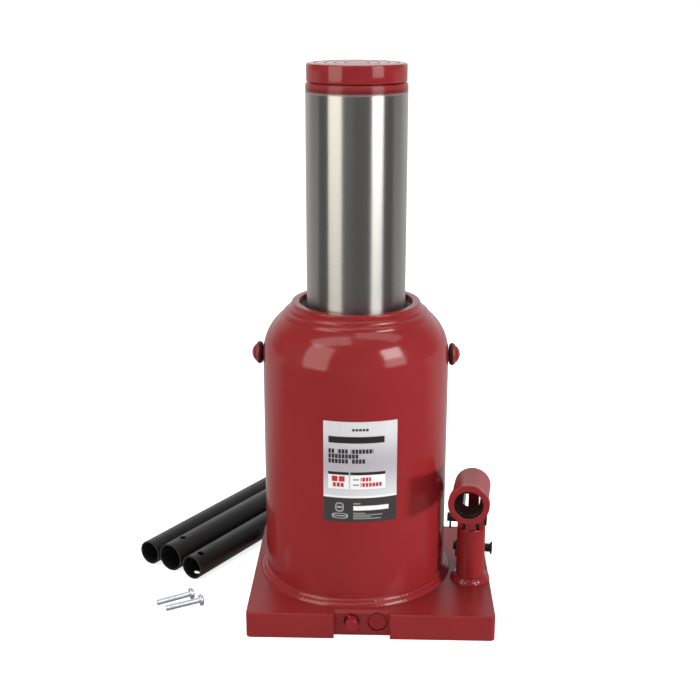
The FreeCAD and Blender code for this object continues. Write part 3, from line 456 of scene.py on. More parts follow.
def block(g, u, v, edges):
    """Mask of one printed block; its edges are (left, right, top, bottom) shares."""
    left, right, top, bottom = edges
    soft = PLATE_SOFT_EDGE
    mask = g.fade(u, left - soft, left + soft)
    for side in (
        g.fade(u, right - soft, right + soft, 1, 0),
        g.fade(v, top - soft, top + soft),
        g.fade(v, bottom - soft, bottom + soft, 1, 0),
    ):
        mask = g.math("MULTIPLY", mask, side)
    return mask


def blocks(g, u, v, rows):
    """Mask of several printed blocks together."""
    total = block(g, u, v, rows[0])
    for row in rows[1:]:
        total = g.math("MAXIMUM", total, block(g, u, v, row))
    return total


def letter_mask(g, u):
    """Mask that parts a printed line into letter-sized blocks."""
    first = PLATE_LINES[0][0][0]
    place = g.math("FRACT", g.math("DIVIDE", g.math("SUBTRACT", u, first), PLATE_LETTER_PITCH))
    gap = g.math("MULTIPLY", g.fade(place, 0.74, 0.80), g.fade(place, 0.94, 1.0, 1, 0))
    return g.math("SUBTRACT", 1.0, gap)


def badge_mask(g, u, v, badge):
    """Mask of a rounded ring with a bar across its middle."""
    centre_u, centre_v, half_u, half_v = badge
    du = g.math("ABSOLUTE", g.math("DIVIDE", g.math("SUBTRACT", u, centre_u), half_u))
    dv = g.math("ABSOLUTE", g.math("DIVIDE", g.math("SUBTRACT", v, centre_v), half_v))
    reach = g.math("ADD", g.math("POWER", du, 3.0), g.math("POWER", dv, 3.0))
    rim = g.math("MULTIPLY", g.fade(reach, 0.35, 0.5), g.fade(reach, 0.9, 1.1, 1, 0))
    bar = g.math("MULTIPLY", g.fade(dv, 0.1, 0.3, 1, 0), g.fade(reach, 0.2, 0.3, 1, 0))
    return g.math("MAXIMUM", rim, bar)


def foil_colour(g, v, brushed):
    """Brushed foil, paler towards the plate's top and bottom."""
    sheen = g.fade(g.math("ABSOLUTE", g.math("SUBTRACT", v, 0.42)), 0.0, 0.36)
    foil = g.mix(sheen, FOIL_MIDDLE, FOIL_ENDS)
    return g.mix(g.fade(brushed, 0.35, 0.65, 0.0, 0.35), foil, FOIL_BRUSHED)


def printed_plate(low, high, start, end):
    """Brushed foil printed with plain blocks; start and end are its angles."""
    g = Graph("printed_plate")
    angle, z = g.around()
    u = g.math("DIVIDE", g.math("SUBTRACT", angle, start), end - start)
    v = g.math("DIVIDE", g.math("SUBTRACT", high, z), high - low)
    brushed = g.noise(1.0, 2.0, g.join(g.math("MULTIPLY", angle, 260.0), 0.0, g.math("MULTIPLY", z, 60.0)))
    letters = letter_mask(g, u)
    ink = g.mix(g.noise(900.0, 2.0), INK, INK_THIN)

    words = []
    for ends, top, bottom in PLATE_LINES:
        for left, right in zip(ends[::2], ends[1::2]):
            words.append((left, right, top, bottom))
    heads = [(left, right, PLATE_BOX_TOP, PLATE_BOX_HEAD) for left, right in PLATE_BOXES]
    panels = [(left, right, PLATE_BOX_HEAD, PLATE_BOX_BOTTOM) for left, right in PLATE_BOXES]
    black_lines = g.math("MULTIPLY", blocks(g, u, v, words + [PLATE_TOP_LINE]), letters)
    black = g.math("MAXIMUM", black_lines, blocks(g, u, v, [PLATE_HEADLINE] + heads))
    red_words = g.math("MULTIPLY", blocks(g, u, v, PLATE_BOX_WORDS), letters)
    red = g.math("MAXIMUM", blocks(g, u, v, PLATE_BOX_BLOCKS), red_words)
    rule = (-1, 2, PLATE_RULE_TOP, PLATE_BAND_TOP)
    band = (-1, 2, PLATE_BAND_TOP, 2)

    colour = foil_colour(g, v, brushed)
    for mask, print_colour in (
        (black, ink),
        (blocks(g, u, v, panels), PRINT_WHITE),
        (red, PRINT_RED),
        (blocks(g, u, v, PLATE_BOX_GREY_BARS), PRINT_GREY),
        (block(g, u, v, rule), PRINT_WHITE),
        (block(g, u, v, band), BAND_BLACK),
        (block(g, u, v, PLATE_BAND_BAR), PRINT_WHITE),
        (blocks(g, u, v, PLATE_BAND_LINES), BAND_GREY),
    ):
        colour = g.mix(mask, colour, print_colour)
    for badge in PLATE_BADGES:
        colour = g.mix(badge_mask(g, u, v, badge), colour, BADGE_GREY)
    g.set({
        "Base Color": colour,
        "Metallic": 0.0,
        "Roughness": g.fade(brushed, 0.3, 0.7, 0.32, 0.42),
        "Normal": g.bump(brushed, 0.01 * MM, 0.3),
    })
    return g.material


# ---- mesh tools ----------------------------------------------------------------------

def rounded(corners, steps=5):
    """Open outline of (radius, height, rounding) corners, with its roundings as arcs."""
    outline = []
    for index, (x, y, size) in enumerate(corners):
        here = Vector((x, y))
        if not size:
            outline.append(here)
            continue
        to_last = (Vector(corners[index - 1][:2]) - here).normalized()
        to_next = (Vector(corners[(index + 1) % len(corners)][:2]) - here).normalized()
        half = to_last.angle(to_next) / 2
        reach = size / math.tan(half)
        centre = here + (to_last + to_next).normalized() * (size / math.sin(half))
        start = here + to_last * reach - centre
        end = here + to_next * reach - centre
        for step in range(steps + 1):
            outline.append(centre + start.slerp(end, step / steps).normalized() * size)
    return outline


def lathe(outline, closed=False, base=ORIGIN, axis=UP, segments=FINE, shift=None):
    """Mesh turned from (radius, height) points; shift(angle, share) moves its points."""
    bm = bmesh.new()
    turn = UP.rotation_difference(axis).to_matrix()
    rings = []
    for index, (radius, height) in enumerate(outline):
        count = segments if radius > 1e-7 else 1
        ring = []
        for k in range(count):
            angle = 2 * math.pi * k / segments
            out, rise = shift(angle, index / (len(outline) - 1)) if shift else (0, 0)
            spot = Vector(((radius + out) * math.cos(angle), (radius + out) * math.sin(angle), height + rise))
            ring.append(bm.verts.new(base + turn @ spot))
        rings.append(ring)
    pairs = list(zip(rings, rings[1:]))
    if closed:
        pairs.append((rings[-1], rings[0]))
    for low, high in pairs:
        for k in range(segments):
            corners = (low[k % len(low)], low[(k + 1) % len(low)],
                       high[(k + 1) % len(high)], high[k % len(high)])
            unique = list(dict.fromkeys(corners))
            if len(unique) > 2:
                bm.faces.new(unique)
    bmesh.ops.recalc_face_normals(bm, faces=bm.faces)
    return bm


def piece(name, bm, finish, body, *nodes, sharp=SHARP_EDGE):
    """Object from a mesh, in a finish, riding on a body and standing for CAD nodes."""
    mesh = bpy.data.meshes.new(name)
    bm.to_mesh(mesh)
    bm.free()
    mesh.shade_smooth()
    mesh.set_sharp_from_angle(angle=math.radians(sharp))
    made = bpy.data.objects.new(name, mesh)
    bpy.context.scene.collection.objects.link(made)
    dress(made, finish)
    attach(made, body)
    if nodes:
        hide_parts(*nodes)
    return made


def dress(made, finish, material=None):
    """Give an object a record finish, and its material unless another is named."""
    made.data.materials.clear()
    made.data.materials.append(material or FINISHES[finish])


def modify(made, kind, **settings):
    """Add a modifier and apply it at once."""
    modifier = made.modifiers.new(kind, kind)
    for key, value in settings.items():
        setattr(modifier, key, value)
    depsgraph = bpy.context.evaluated_depsgraph_get()
    mesh = bpy.data.meshes.new_from_object(made.evaluated_get(depsgraph), depsgraph=depsgraph)
    made.modifiers.clear()
    made.data = mesh


def carve(made, bm):
    """Cut a mesh out of an object."""
    mesh = bpy.data.meshes.new("cutter")
    bm.to_mesh(mesh)
    bm.free()
    cutter = bpy.data.objects.new("cutter", mesh)
    bpy.context.scene.collection.objects.link(cutter)
    modify(made, "BOOLEAN", operation="DIFFERENCE", object=cutter, solver="EXACT")
    bpy.data.objects.remove(cutter)
    made.data.shade_smooth()
    made.data.set_sharp_from_angle(angle=math.radians(SHARP_EDGE))


def eased(node, finish, body, width, segments=3):
    """Copy of a CAD node with its edges rounded by a small bevel."""
    bm = bmesh.new()
    bm.from_mesh(NODES[node].data)
    bmesh.ops.remove_doubles(bm, verts=bm.verts, dist=1e-7)
    bmesh.ops.dissolve_limit(bm, angle_limit=math.radians(0.6), verts=bm.verts, edges=bm.edges)
    made = piece(node + "_eased", bm, finish, body, node)
    modify(made, "BEVEL", width=width, segments=segments, limit_method="ANGLE",
           angle_limit=math.radians(38), harden_normals=False, use_clamp_overlap=True)
    made.data.shade_smooth()
    made.data.set_sharp_from_angle(angle=math.radians(SHARP_EDGE))
    modify(made, "WEIGHTED_NORMAL", keep_sharp=True)
    return made


def shade_bore_inside(made, mount):
    """Give the faces inside a bore mount bare steel darkened with painted shade."""
    made.data.materials.append(SHADED_BORE)
    start = Vector(mount["pos_m"])
    axis = Vector(mount["axis"])
    for face in made.data.polygons:
        offset = face.center - start
        inside = (offset - axis * offset.dot(axis)).length < mount["dims"]["r_mm"] * MM + 0.1 * MM
        if inside and abs(face.normal.dot(axis)) < 0.5:
            face.material_index = 1


def wire(name, runs, radius, finish, body, node, material=None):
    """Round wire along runs of points; a run marked True is closed."""
    curve = bpy.data.curves.new(name, "CURVE")
    curve.dimensions = "3D"
    curve.bevel_depth = radius
    curve.bevel_resolution = 6
    curve.use_fill_caps = True
    for points, closed in runs:
        spline = curve.splines.new("POLY")
        spline.points.add(len(points) - 1)
        for spot, point in zip(points, spline.points):
            point.co = (*spot, 1)
        spline.use_cyclic_u = closed
    made = bpy.data.objects.new(name, curve)
    bpy.context.scene.collection.objects.link(made)
    depsgraph = bpy.context.evaluated_depsgraph_get()
    mesh = bpy.data.meshes.new_from_object(made.evaluated_get(depsgraph), depsgraph=depsgraph)
    bpy.data.objects.remove(made)
    mesh.shade_smooth()
    mesh.set_sharp_from_angle(angle=math.radians(50))
    made = bpy.data.objects.new(name, mesh)
    bpy.context.scene.collection.objects.link(made)
    dress(made, finish, material)
    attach(made, body)
    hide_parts(node)
    return made


def bars_of(node):
    """Each loose part of a CAD node as (thin end, fat end) of its axis."""
    bm = bmesh.new()
    bm.from_mesh(NODES[node].data)
    bmesh.ops.remove_doubles(bm, verts=bm.verts, dist=1e-7)
    left = set(bm.verts)
    bars = []
    while left:
        group = [left.pop()]
        for vert in group:
            for edge in vert.link_edges:
                other = edge.other_vert(vert)
                if other in left:
                    left.remove(other)
                    group.append(other)
        points = np.array([v.co for v in group])
        middle = (points.max(0) + points.min(0)) / 2
        direction = np.linalg.svd(points - points.mean(0), full_matrices=False)[2][0]
        along = (points - middle) @ direction
        centre = middle + direction * (along.max() + along.min()) / 2
        radial = np.linalg.norm(points - centre - np.outer((points - centre) @ direction, direction), axis=1)
        half = (along.max() - along.min()) / 2
        along -= (along.max() + along.min()) / 2
        if radial[along > 0.8 * half].max() < radial[along < -0.8 * half].max():
            direction = -direction
        bars.append((Vector(centre - direction * half), Vector(centre + direction * half)))
    bm.free()
    return sorted(bars, key=lambda bar: bar[0].x)


# ---- reservoir, tube and welds -------------------------------------------------------

def dome_points(radius, curve, start_height, top_radius, steps=40):
    """Outline of the domed shoulder, from the wall up to where it meets the tube."""
    centre = radius - curve
    last = math.acos((top_radius - centre) / curve)
    points = []
    for step in range(steps + 1):
        angle = last * step / steps
        points.append(Vector((centre + curve * math.cos(angle), start_height + curve * math.sin(angle))))
    return points


def reservoir():
    """Domed shell with a hole at the back for the filler plug."""
    low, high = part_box("reservoir_shell")
    tube_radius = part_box("cylinder_tube")[1].x
    radius = high.x
    wall = SHELL_WALL
    curve = SHOULDER_CURVE
    start_height = high.z - math.sqrt(curve ** 2 - (tube_radius - radius + curve) ** 2)
    outside = dome_points(radius, curve, start_height, tube_radius)
    inside = dome_points(radius - wall, curve - wall, start_height, tube_radius)
    steps = 24
    side = [Vector((radius, low.z + (start_height - low.z) * k / steps)) for k in range(steps)]
    bottom = [Vector((radius - wall, low.z))]
    bm = lathe(side + outside + inside[::-1] + bottom, closed=True)
    shell = piece("reservoir_dome", bm, "red_paint", "jack_body", "reservoir_shell")
    plug_low, plug_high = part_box("filler_plug")
    hole = Vector((0, radius - 3 * wall, (plug_low.z + plug_high.z) / 2))
    drill = [(0, 0), (FILLER_HOLE, 0), (FILLER_HOLE, 5 * wall), (0, 5 * wall)]
    carve(shell, lathe(drill, base=hole, axis=Vector((0, 1, 0)), segments=48))


def bead_face(toe, crown, root, steps=10):
    """Curved face of a weld bead, from its toe over its crown to its root."""
    bulge = crown * 2 - (toe + root) / 2
    points = []
    for step in range(steps + 1):
        t = step / steps
        points.append(toe * (1 - t) ** 2 + bulge * (2 * t * (1 - t)) + root * t ** 2)
    return points


def two_passes(toe, root, swell):
    """Faces of two beads laid side by side, each standing out by swell."""
    valley = toe.lerp(root, 0.55)
    out = Vector((root.y - toe.y, toe.x - root.x)).normalized() * swell
    lower = bead_face(toe, toe.lerp(valley, 0.5) + out, valley)
    upper = bead_face(valley, valley.lerp(root, 0.5) + out, root)
    return lower + upper[1:]


def ripple(count, depth, wander, out, rise):
    """Overlapping crescents of a weld bead: how far each point moves out and up.

    Depth is the crescents' height, wander that of the slow waves along the bead.
    """
    def shift(angle, share):
        swell = math.sin(math.pi * min(share * 12 / 10.5, 1))
        phase = count * angle / 2 + 1.3 * swell
        wave = 0.4 * math.sin(7 * angle) + 0.35 * math.sin(17 * angle + 1) + 0.25 * math.sin(41 * angle + 2)
        height = swell * (depth * abs(math.sin(phase)) ** 0.7 + wander * wave)
        return out * height, rise * height
    return shift


def keep_on_plate(made):
    """Press a bead's points in to the base plate's outline."""
    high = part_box("base_plate")[1]
    for vert in made.data.vertices:
        vert.co.x = min(vert.co.x, high.x)
        vert.co.y = min(vert.co.y, high.y)


def foot_weld():
    """Two passes where the shell stands on the base plate."""
    low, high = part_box("reservoir_foot_weld")
    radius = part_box("reservoir_shell")[1].x
    toe = Vector((-low.x - 0.5 * MM, low.z))
    root = Vector((radius - 0.2 * MM, high.z))
    section = two_passes(toe, root, FOOT_SWELL) + [Vector((radius - 0.3 * MM, low.z))]
    shift = ripple(130, 0.13 * MM, 0.22 * MM, 0.7, 0.6)
    bm = lathe(section, closed=True, segments=1080, shift=shift)
    keep_on_plate(piece("foot_bead", bm, "red_paint", "jack_body", "reservoir_foot_weld"))


def shoulder_weld():
    """Two passes where the dome meets the tube."""
    low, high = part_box("shoulder_weld")
    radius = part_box("cylinder_tube")[1].x
    toe = Vector((high.x, low.z - 0.1 * MM))
    root = Vector((radius - 0.2 * MM, high.z - 0.4 * MM))
    section = two_passes(toe, root, SHOULDER_SWELL) + [Vector((radius, low.z))]
    shift = ripple(150, 0.14 * MM, 0.06 * MM, 0.4, 0.8)
    bm = lathe(section, closed=True, segments=1080, shift=shift)
    piece("shoulder_bead", bm, "red_paint", "jack_body", "shoulder_weld")


def pump_weld():
    """One pass round the foot of the pump cylinder."""
    low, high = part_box("pump_foot_weld")
    barrel_low, barrel_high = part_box("pump_cylinder")
    radius = (barrel_high.x - barrel_low.x) / 2
    centre = Vector(((barrel_high.x + barrel_low.x) / 2, (barrel_high.y + barrel_low.y) / 2, 0))
    reach = centre.x - low.x - 0.4 * MM
    middle = Vector((radius + 0.62 * (reach - radius), low.z + 0.58 * (high.z - low.z)))
    section = bead_face(Vector((reach, low.z)), middle, Vector((radius - 0.2 * MM, high.z - 0.3 * MM)))
    section.append(Vector((radius - 0.3 * MM, low.z)))
    shift = ripple(11, 0.5 * MM, 0.2 * MM, 0.7, 0.6)
    bm = lathe(section, closed=True, base=centre, segments=480, shift=shift)
    keep_on_plate(piece("pump_foot_bead", bm, "red_paint", "jack_body", "pump_foot_weld"))


def cylinder_tube():
    """Thick tube whose rounded rim shows as the collar."""
    low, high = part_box("cylinder_tube")
    outline = rounded([
        (TUBE_BORE, low.z, 0),
        (high.x, low.z, 0),
        (high.x, high.z, 1.1 * MM),
        (TUBE_BORE, high.z, 0.9 * MM),
    ])
    piece("collar_tube", lathe(outline, closed=True), "red_paint", "jack_body", "cylinder_tube")


# ---- ram and saddle ------------------------------------------------------------------

def ram():
    """Ground ram with its piston, seal groove and the bore for the saddle's spigot."""
    low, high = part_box("ram")
    piston = high.x
    outline = rounded([
        (0, low.z, 0),
        (38 * MM, low.z, 0.3 * MM),
        (38 * MM, low.z + 8 * MM, 0),
        (piston, low.z + 8 * MM, 0.3 * MM),
        (piston, low.z + 15 * MM, 0),
        (piston - 2.2 * MM, low.z + 15 * MM, 0),
        (piston - 2.2 * MM, low.z + 21 * MM, 0),
        (piston, low.z + 21 * MM, 0),
        (piston, low.z + 25 * MM, 0.8 * MM),
        (RAM_RADIUS, low.z + 25 * MM, 0),
        (RAM_RADIUS, high.z, 1.6 * MM),
        (SPIGOT_RADIUS, high.z, 0.3 * MM),
        (SPIGOT_RADIUS, high.z - SPIGOT_DEPTH, 0),
        (0, high.z - SPIGOT_DEPTH, 0),
    ], 6)
    piece("ground_ram", lathe(outline), "ground_steel", "ram_assembly", "ram")


def saddle():
    """Round saddle with ring grooves on top and a spigot in the ram."""
    low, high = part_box("saddle")
    radius = high.x
    body_low = high.z - SADDLE_HEIGHT
    corners = [(0, high.z, 0)]
    for groove in SADDLE_GROOVES:
        corners.append((groove - 0.9 * MM, high.z, 0.35 * MM))
        corners.append((groove - 0.55 * MM, high.z - GROOVE_DEPTH, 0.2 * MM))
        corners.append((groove + 0.55 * MM, high.z - GROOVE_DEPTH, 0.2 * MM))
        corners.append((groove + 0.9 * MM, high.z, 0.35 * MM))
    corners += [
        (radius, high.z, 1.5 * MM),
        (radius, body_low, 0.6 * MM),
        (radius - 2.5 * MM, body_low, 0.3 * MM),
        (radius - 2.5 * MM, body_low - 0.8 * MM, 0),
        (SPIGOT_RADIUS, body_low - 0.8 * MM, 0),
        (SPIGOT_RADIUS, low.z, 0),
        (0, low.z, 0),
    ]
    made = piece("grooved_saddle", lathe(rounded(corners, 4)), "red_paint", "ram_assembly", "saddle")
    dress(made, "red_paint", GRAINY_RED)
    made.data.materials.append(SMOOTH_RED)
    for face in made.data.polygons:
        if face.center.z > high.z - 1.4 * MM:
            face.material_index = 1


# ---- pump ----------------------------------------------------------------------------

def pump():
    """Pump cylinder, its plunger, and the lug plates and link beside it."""
    low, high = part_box("pump_cylinder")
    centre = Vector(((low.x + high.x) / 2, (low.y + high.y) / 2, 0))
    radius = (high.x - low.x) / 2
    outline = rounded([
        (PUMP_BORE, low.z, 0),
        (radius, low.z, 0),
        (radius, high.z, 1.3 * MM),
        (PUMP_BORE, high.z, 0.5 * MM),
    ])
    bm = lathe(outline, closed=True, base=centre, segments=COARSE)
    piece("pump_barrel", bm, "red_paint", "jack_body", "pump_cylinder")
    for node in ("fulcrum_lug_left", "fulcrum_lug_right"):
        eased(node, "red_paint", "jack_body", 0.8 * MM)
    eased("fulcrum_link", "red_paint", "lever_link", 0.6 * MM)
    rod = eased("plunger", "machined_steel", "pump_plunger", 0.3 * MM)
    dress(rod, "machined_steel", plunger_finish(high.z + 0.2 * MM))


def handle_socket():
    """Socket tube with its collar, its bare inside darkened with painted shade, and its two ears."""
    for node, width, paint in (
        ("socket_tube", 0.4 * MM, ROUGH_RED),
        ("socket_collar", 0.7 * MM, None),
    ):
        made = eased(node, "red_paint", "pump_lever", width)
        dress(made, "red_paint", paint)
        shade_bore_inside(made, MOUNTS["handle_socket"])
    for node in ("socket_ear_left", "socket_ear_right"):
        eased(node, "red_paint", "pump_lever", 0.7 * MM)


def pivot_pins():
    """The linkage's three black pins and their cotters."""
    for node, body in (
        ("plunger_pin", "pump_lever"),
        ("link_pin", "pump_lever"),
        ("fulcrum_pin", "jack_body"),
    ):
        made = eased(node, "black_finish", body, 0.5 * MM)
        dress(made, "black_finish", PIN_BLACK)
        dress(NODES[node + "_cotter"], "black_finish", PIN_BLACK)


# ---- valves, bail and loose pieces ---------------------------------------------------

def base_and_valves():
    """Base plate, the valve parts that show, and the gland nut."""
    plate = eased("base_plate", "red_paint", "jack_body", 0.5 * MM)
    dress(plate, "red_paint", ROUGH_RED)
    eased("release_screw", "red_paint", "release_valve", 0.3 * MM)
    eased("release_cross_pin", "red_paint", "release_valve", 0.2 * MM)
    eased("overload_plug", "red_paint", "jack_body", 0.3 * MM)
    eased("filler_plug", "black_rubber", "oil_plug", 0.9 * MM)
    # The gland nut gets the darker steel: painted shade in the gap round the ram.
    nut = eased("gland_nut", "machined_steel", "jack_body", 0.25 * MM)
    dress(nut, "machined_steel", GAP_SHADE_STEEL)


def bail():
    """Bent rod with an eye round each stud, hanging down behind."""
    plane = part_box("bail_handle")[1].x - BAIL_RADIUS
    pivot = Vector(JOINTS["bail_swing"]["pos_m"])
    droop = Matrix.Rotation(BAIL_DROOP, 3, "X")
    runs = []
    for side in (-1, 1):
        ring = []
        for step in range(48):
            angle = 2 * math.pi * step / 48
            spot = Vector((side * plane, BAIL_EYE * math.cos(angle), BAIL_EYE * math.sin(angle)))
            ring.append(pivot + droop @ spot)
        runs.append((ring, True))
    bow = [Vector((plane, BAIL_EYE, 0))]
    for step in range(97):
        angle = math.pi * step / 96
        bow.append(Vector((plane * math.cos(angle), BAIL_LEG + plane * math.sin(angle), 0)))
    bow.append(Vector((-plane, BAIL_EYE, 0)))
    runs.append(([pivot + droop @ spot for spot in bow], False))
    finish = bail_finish(plane + 0.3 * MM)
    wire("bail_rod", runs, BAIL_RADIUS, "black_finish", "bail", "bail_handle", finish)
    for node in ("bail_stud_left", "bail_stud_right"):
        eased(node, "red_paint", "jack_body", 0.3 * MM)


def handles():
    """Tubes, with the paint rubbed thin on their end rims and a painted glint there."""
    for place in ("rear", "middle", "front"):
        node = "handle_section_" + place
        near, far = bars_of(node)[0]
        axis = (far - near).normalized()
        made = eased(node, "black_finish", "handle_" + place, 0.35 * MM)
        # The end rims get a lighter colour: rubbed paint and a painted glint.
        made.data.materials.append(RUBBED_BLACK_GLINT)
        for face in made.data.polygons:
            along = (face.center - near).dot(axis)
            if min(along, (far - near).length - along) < 0.45 * MM:
                face.material_index = 1


def threaded_screw(tip, head_end):
    """Mesh of a pan-head screw from its tip to the top of its head."""
    axis = (head_end - tip).normalized()
    length = (head_end - tip).length
    shank = length - SCREW_HEAD_HEIGHT
    step = THREAD_PITCH / 8
    count = int(shank / step)
    outline = [(0, 0)]
    outline += [(SCREW_RADIUS - THREAD_DEPTH, k * step) for k in range(count)]

    def thread(angle, share):
        height = (share * (len(outline) - 1) - 1) * step
        turn = (height / THREAD_PITCH - angle / (2 * math.pi)) % 1
        crest = 1 - abs(2 * turn - 1)
        run_in = max(0, height / (1.5 * THREAD_PITCH))
        run_out = max(0, (shank - height) / (0.6 * THREAD_PITCH))
        return THREAD_DEPTH * min(1, 1.35 * crest) * min(1, run_in, run_out), 0

    bm = lathe(outline + [(0, shank)], base=tip, axis=axis, segments=48, shift=thread)
    head = rounded([
        (0, shank - 0.1 * MM, 0),
        (SCREW_HEAD_RADIUS, shank - 0.1 * MM, 0.3 * MM),
        (SCREW_HEAD_RADIUS, length, 1.9 * MM),
        (0, length, 0),
    ], 8)
    return bm, lathe(head, base=tip, axis=axis, segments=64)


def screws():
    """The two loose plated screws."""
    for name, (tip, head_end) in zip(("left", "right"), bars_of("handle_screws")):
        shank, head = threaded_screw(tip, head_end)
        nodes = ("handle_screws",) if name == "left" else ()
        piece("screw_shank_" + name, shank, "zinc_plate", "loose_screws", *nodes, sharp=60)
        made = piece("screw_head_" + name, head, "zinc_plate", "loose_screws")
        axis = (head_end - tip).normalized()
        turn = UP.rotation_difference(axis).to_matrix().to_4x4()
        for across, along in ((SLOT_LENGTH, SLOT_WIDTH), (SLOT_WIDTH, SLOT_LENGTH)):
            cutter = bmesh.new()
            bmesh.ops.create_cube(cutter, size=1.0)
            scale = Matrix.Diagonal((across, along, SLOT_DEPTH, 1))
            place = Matrix.Translation(head_end - axis * 0.3 * MM)
            cutter.transform(place @ turn @ scale)
            carve(made, cutter)


# ---- stage ---------------------------------------------------------------------------

def softbox(name, place, target, width, height, power, colour):
    """Rectangular lamp at a place, aimed at a target."""
    light = bpy.data.lights.new(name, "AREA")
    light.shape = "RECTANGLE"
    light.size = width
    light.size_y = height
    light.energy = power
    light.color = colour
    made = bpy.data.objects.new(name, light)
    made.location = place
    made.rotation_mode = "QUATERNION"
    made.rotation_quaternion = (target - place).to_track_quat("-Z", "Y")
    bpy.context.scene.collection.objects.link(made)
    return made


def around_jack(azimuth, distance, height):
    """Place at an azimuth in degrees from the front, positive to the right."""
    angle = math.radians(azimuth)
    return Vector((distance * math.sin(angle), -distance * math.cos(angle), height))


def lights():
    """Softboxes seen in reflections, fills that only lift the shade, and ceiling panels."""
    middle = Vector((0, 0, 0.45))
    low = Vector((0, 0, 0.15))
    mirrored = [
        softbox("softbox_left", around_jack(-48, 1.25, 0.74), middle, 0.76, 1.24, 7.6, LAMP_WARM),
        softbox("softbox_right", around_jack(50, 1.25, 0.95), middle, 0.60, 0.50, 7.9, LAMP_SOFT),
        softbox("softbox_right_low", around_jack(50, 1.25, 0.50), middle, 0.60, 0.40, 2.3, LAMP_SOFT),
    ]
    for light in mirrored:
        light.visible_diffuse = False
    fills = [
        softbox("fill_left", around_jack(-80, 1.25, 0.5), low, 0.8, 0.8, 6.0, LAMP_MILD),
        softbox("fill_right", around_jack(76, 1.25, 0.07), low, 0.20, 0.10, 11.0, LAMP_WHITE),
        softbox("fill_low", around_jack(0, 1.35, 0.10), Vector((0, 0, 0.05)), 1.4, 0.3, 6.2, LAMP_WHITE),
        softbox("fill_top", Vector((0, -0.1, 1.6)), ORIGIN, 1.2, 1.2, 11.0, LAMP_WHITE),
    ]
    for light in fills:
        light.visible_glossy = False
    softbox("panel_left", Vector((-0.75, -0.62, 1.6)), Vector((-0.75, -0.62, 0)), 1.3, 0.6, 4.6, LAMP_WHITE)
    softbox("panel_right", Vector((0.6, -0.2, 1.6)), Vector((0.6, -0.2, 0)), 1.2, 0.5, 2.6, LAMP_WHITE)


def world():
    """Even soft light; reflections see it dim in front of the jack and pale behind it."""
    made = bpy.data.worlds.new("studio")
    bpy.context.scene.world = made
    made.use_nodes = True
    tree = made.node_tree
    background = tree.nodes["Background"]
    background.inputs["Color"].default_value = (1, 1, 1, 1)
    place = tree.nodes.new("ShaderNodeTexCoord")
    parts = tree.nodes.new("ShaderNodeSeparateXYZ")
    tree.links.new(place.outputs["Generated"], parts.inputs[0])
    fade = tree.nodes.new("ShaderNodeMapRange")
    fade.interpolation_type = "SMOOTHSTEP"
    limits = {"From Min": 0.35, "From Max": 0.97, "To Min": 0.155, "To Max": 0.85}
    for key, value in limits.items():
        fade.inputs[key].default_value = value
    tree.links.new(parts.outputs[1], fade.inputs["Value"])
    rays = tree.nodes.new("ShaderNodeLightPath")
    reflected = tree.nodes.new("ShaderNodeMix")
    reflected.inputs[2].default_value = WORLD_SOFT
    tree.links.new(rays.outputs["Is Glossy Ray"], reflected.inputs[0])
    tree.links.new(fade.outputs[0], reflected.inputs[3])
    seen = tree.nodes.new("ShaderNodeMix")
    seen.inputs[3].default_value = 1.0
    tree.links.new(rays.outputs["Is Camera Ray"], seen.inputs[0])
    tree.links.new(reflected.outputs[0], seen.inputs[2])
    tree.links.new(seen.outputs[0], background.inputs["Strength"])


def floor():
    """Large pale floor, kept white to the camera and dimmer in reflections in front."""
    bm = bmesh.new()
    bmesh.ops.create_circle(bm, cap_ends=True, segments=128, radius=FLOOR_RADIUS)
    mesh = bpy.data.meshes.new("floor")
    bm.to_mesh(mesh)
    bm.free()
    made = bpy.data.objects.new("floor", mesh)
    made.location.z = -FLOOR_GAP
    bpy.context.scene.collection.objects.link(made)
    g = Graph("floor_paper")
    g.set({
        "Base Color": FLOOR_GREY,
        "Roughness": 0.9,
        "Specular IOR Level": 0.0,
    })
    rays = g.node("ShaderNodeLightPath")
    glow = g.node("ShaderNodeEmission", None, {"Strength": FLOOR_GLOW}).outputs[0]
    lit = g.shader.outputs[0]
    lifted = g.node("ShaderNodeAddShader", None, {0: lit, 1: glow}).outputs[0]
    depth = g.split()[1]
    reflected = g.fade(depth, -0.05, 0.3, 0.14, 0.5)
    mirror = g.node("ShaderNodeEmission", None, {"Strength": reflected}).outputs[0]
    first = g.node("ShaderNodeMixShader", None, {0: rays.outputs["Is Camera Ray"], 1: lit, 2: lifted})
    choice = {0: rays.outputs["Is Glossy Ray"], 1: first.outputs[0], 2: mirror}
    second = g.node("ShaderNodeMixShader", None, choice)
    g.feed(second.outputs[0], g.tree.nodes["Material Output"].inputs[0])
    made.data.materials.append(g.material)


def camera():
    """Camera with the lens, place and turn named at the top."""
    lens = bpy.data.cameras.new("camera")
    lens.sensor_width = 36.0
    lens.lens = CAMERA_LENS
    lens.clip_start = 0.01
    lens.clip_end = 100.0
    made = bpy.data.objects.new("camera", lens)
    turn = Matrix.Rotation(CAMERA_YAW, 4, "Z") @ Matrix.Rotation(math.pi / 2 + CAMERA_PITCH, 4, "X")
    made.matrix_world = Matrix.Translation(CAMERA_PLACE) @ turn @ Matrix.Rotation(CAMERA_ROLL, 4, "Z")
    bpy.context.scene.collection.objects.link(made)
    bpy.context.scene.camera = made
    bpy.context.scene.view_settings.view_transform = "Standard"


# ---- build ---------------------------------------------------------------------------

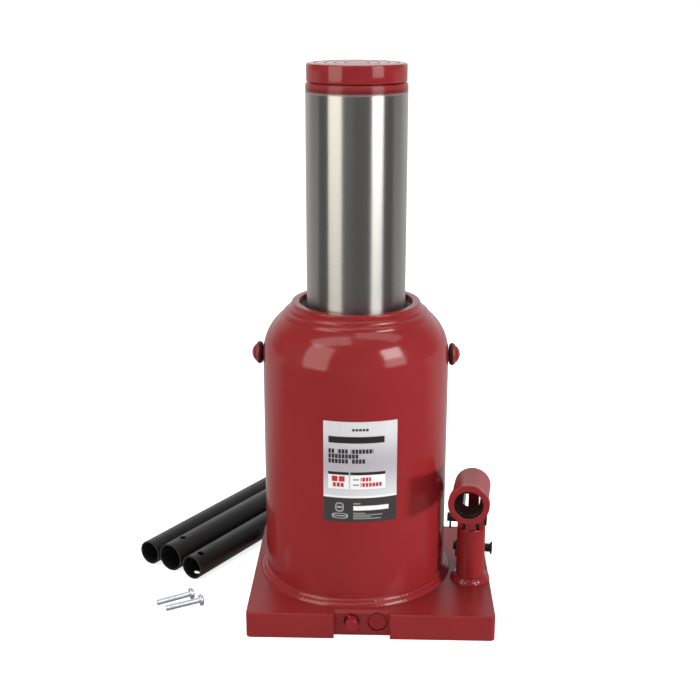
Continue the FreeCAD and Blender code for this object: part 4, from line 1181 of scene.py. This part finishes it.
for old in list(bpy.data.objects):
    bpy.data.objects.remove(old)

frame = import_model()
NODES = frame["nodes"]
JOINTS = {joint["name"]: joint for joint in frame["joints"]}
MOUNTS = {mount["name"]: mount for mount in frame["record"]["mounts"]}
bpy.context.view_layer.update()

plate_low, plate_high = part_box("label_plate")
plate_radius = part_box("reservoir_shell")[1].x + PLATE_THICKNESS
plate_start = math.asin(plate_low.x / plate_radius)
plate_end = math.asin(plate_high.x / plate_radius)
FINISHES = {
    "red_paint": red_enamel("red_enamel", 0.12, 0.15, 240.0, 0.010 * MM),
    "ground_steel": ground_steel(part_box("ram")[1].z - PAINT_BAND),
    "machined_steel": machined_steel("machined_steel", TURNED_FILMED, TURNED_BARE),
    "black_finish": black_finish("black_enamel", 0.30, 0.38),
    "zinc_plate": zinc_plate(),
    "black_rubber": matte("black_rubber", RUBBER, RUBBER_WORN, 0.6, 700.0),
    "guide_plastic": matte("guide_plastic", GUIDE, GUIDE_WORN, 0.5, 500.0),
    "copper_alloy": copper_alloy(),
    "label_foil": printed_plate(plate_low.z, plate_high.z, plate_start, plate_end),
}
RUBBED_BLACK_GLINT = matte("rubbed_black_glint", BLACK_RUBBED_GLINT, BLACK_WORN, 0.36, 600.0)
GAP_SHADE_STEEL = machined_steel("steel_gap_shade", GAP_SHADE_FILMED, GAP_SHADE_BARE)
PIN_BLACK = black_finish("black_oxide", 0.34, 0.48)
ROUGH_RED = red_enamel("red_enamel_rough", 0.285, 0.34, 700.0, 0.03 * MM, 0.38)
GRAINY_RED = red_enamel("red_enamel_grainy", 0.10, 0.13, 900.0, 0.015 * MM)
SMOOTH_RED = red_enamel("red_enamel_smooth", 0.06, 0.10, 260.0, 0.006 * MM)
SHADED_BORE = bore_finish(MOUNTS["handle_socket"])
for part in frame["record"]["subparts"]:
    dress(NODES[part["node"]], part["material_slot"])

reservoir()
foot_weld()
shoulder_weld()
pump_weld()
cylinder_tube()
ram()
saddle()
pump()
handle_socket()
pivot_pins()
base_and_valves()
bail()
handles()
screws()
floor()
world()
lights()
camera()
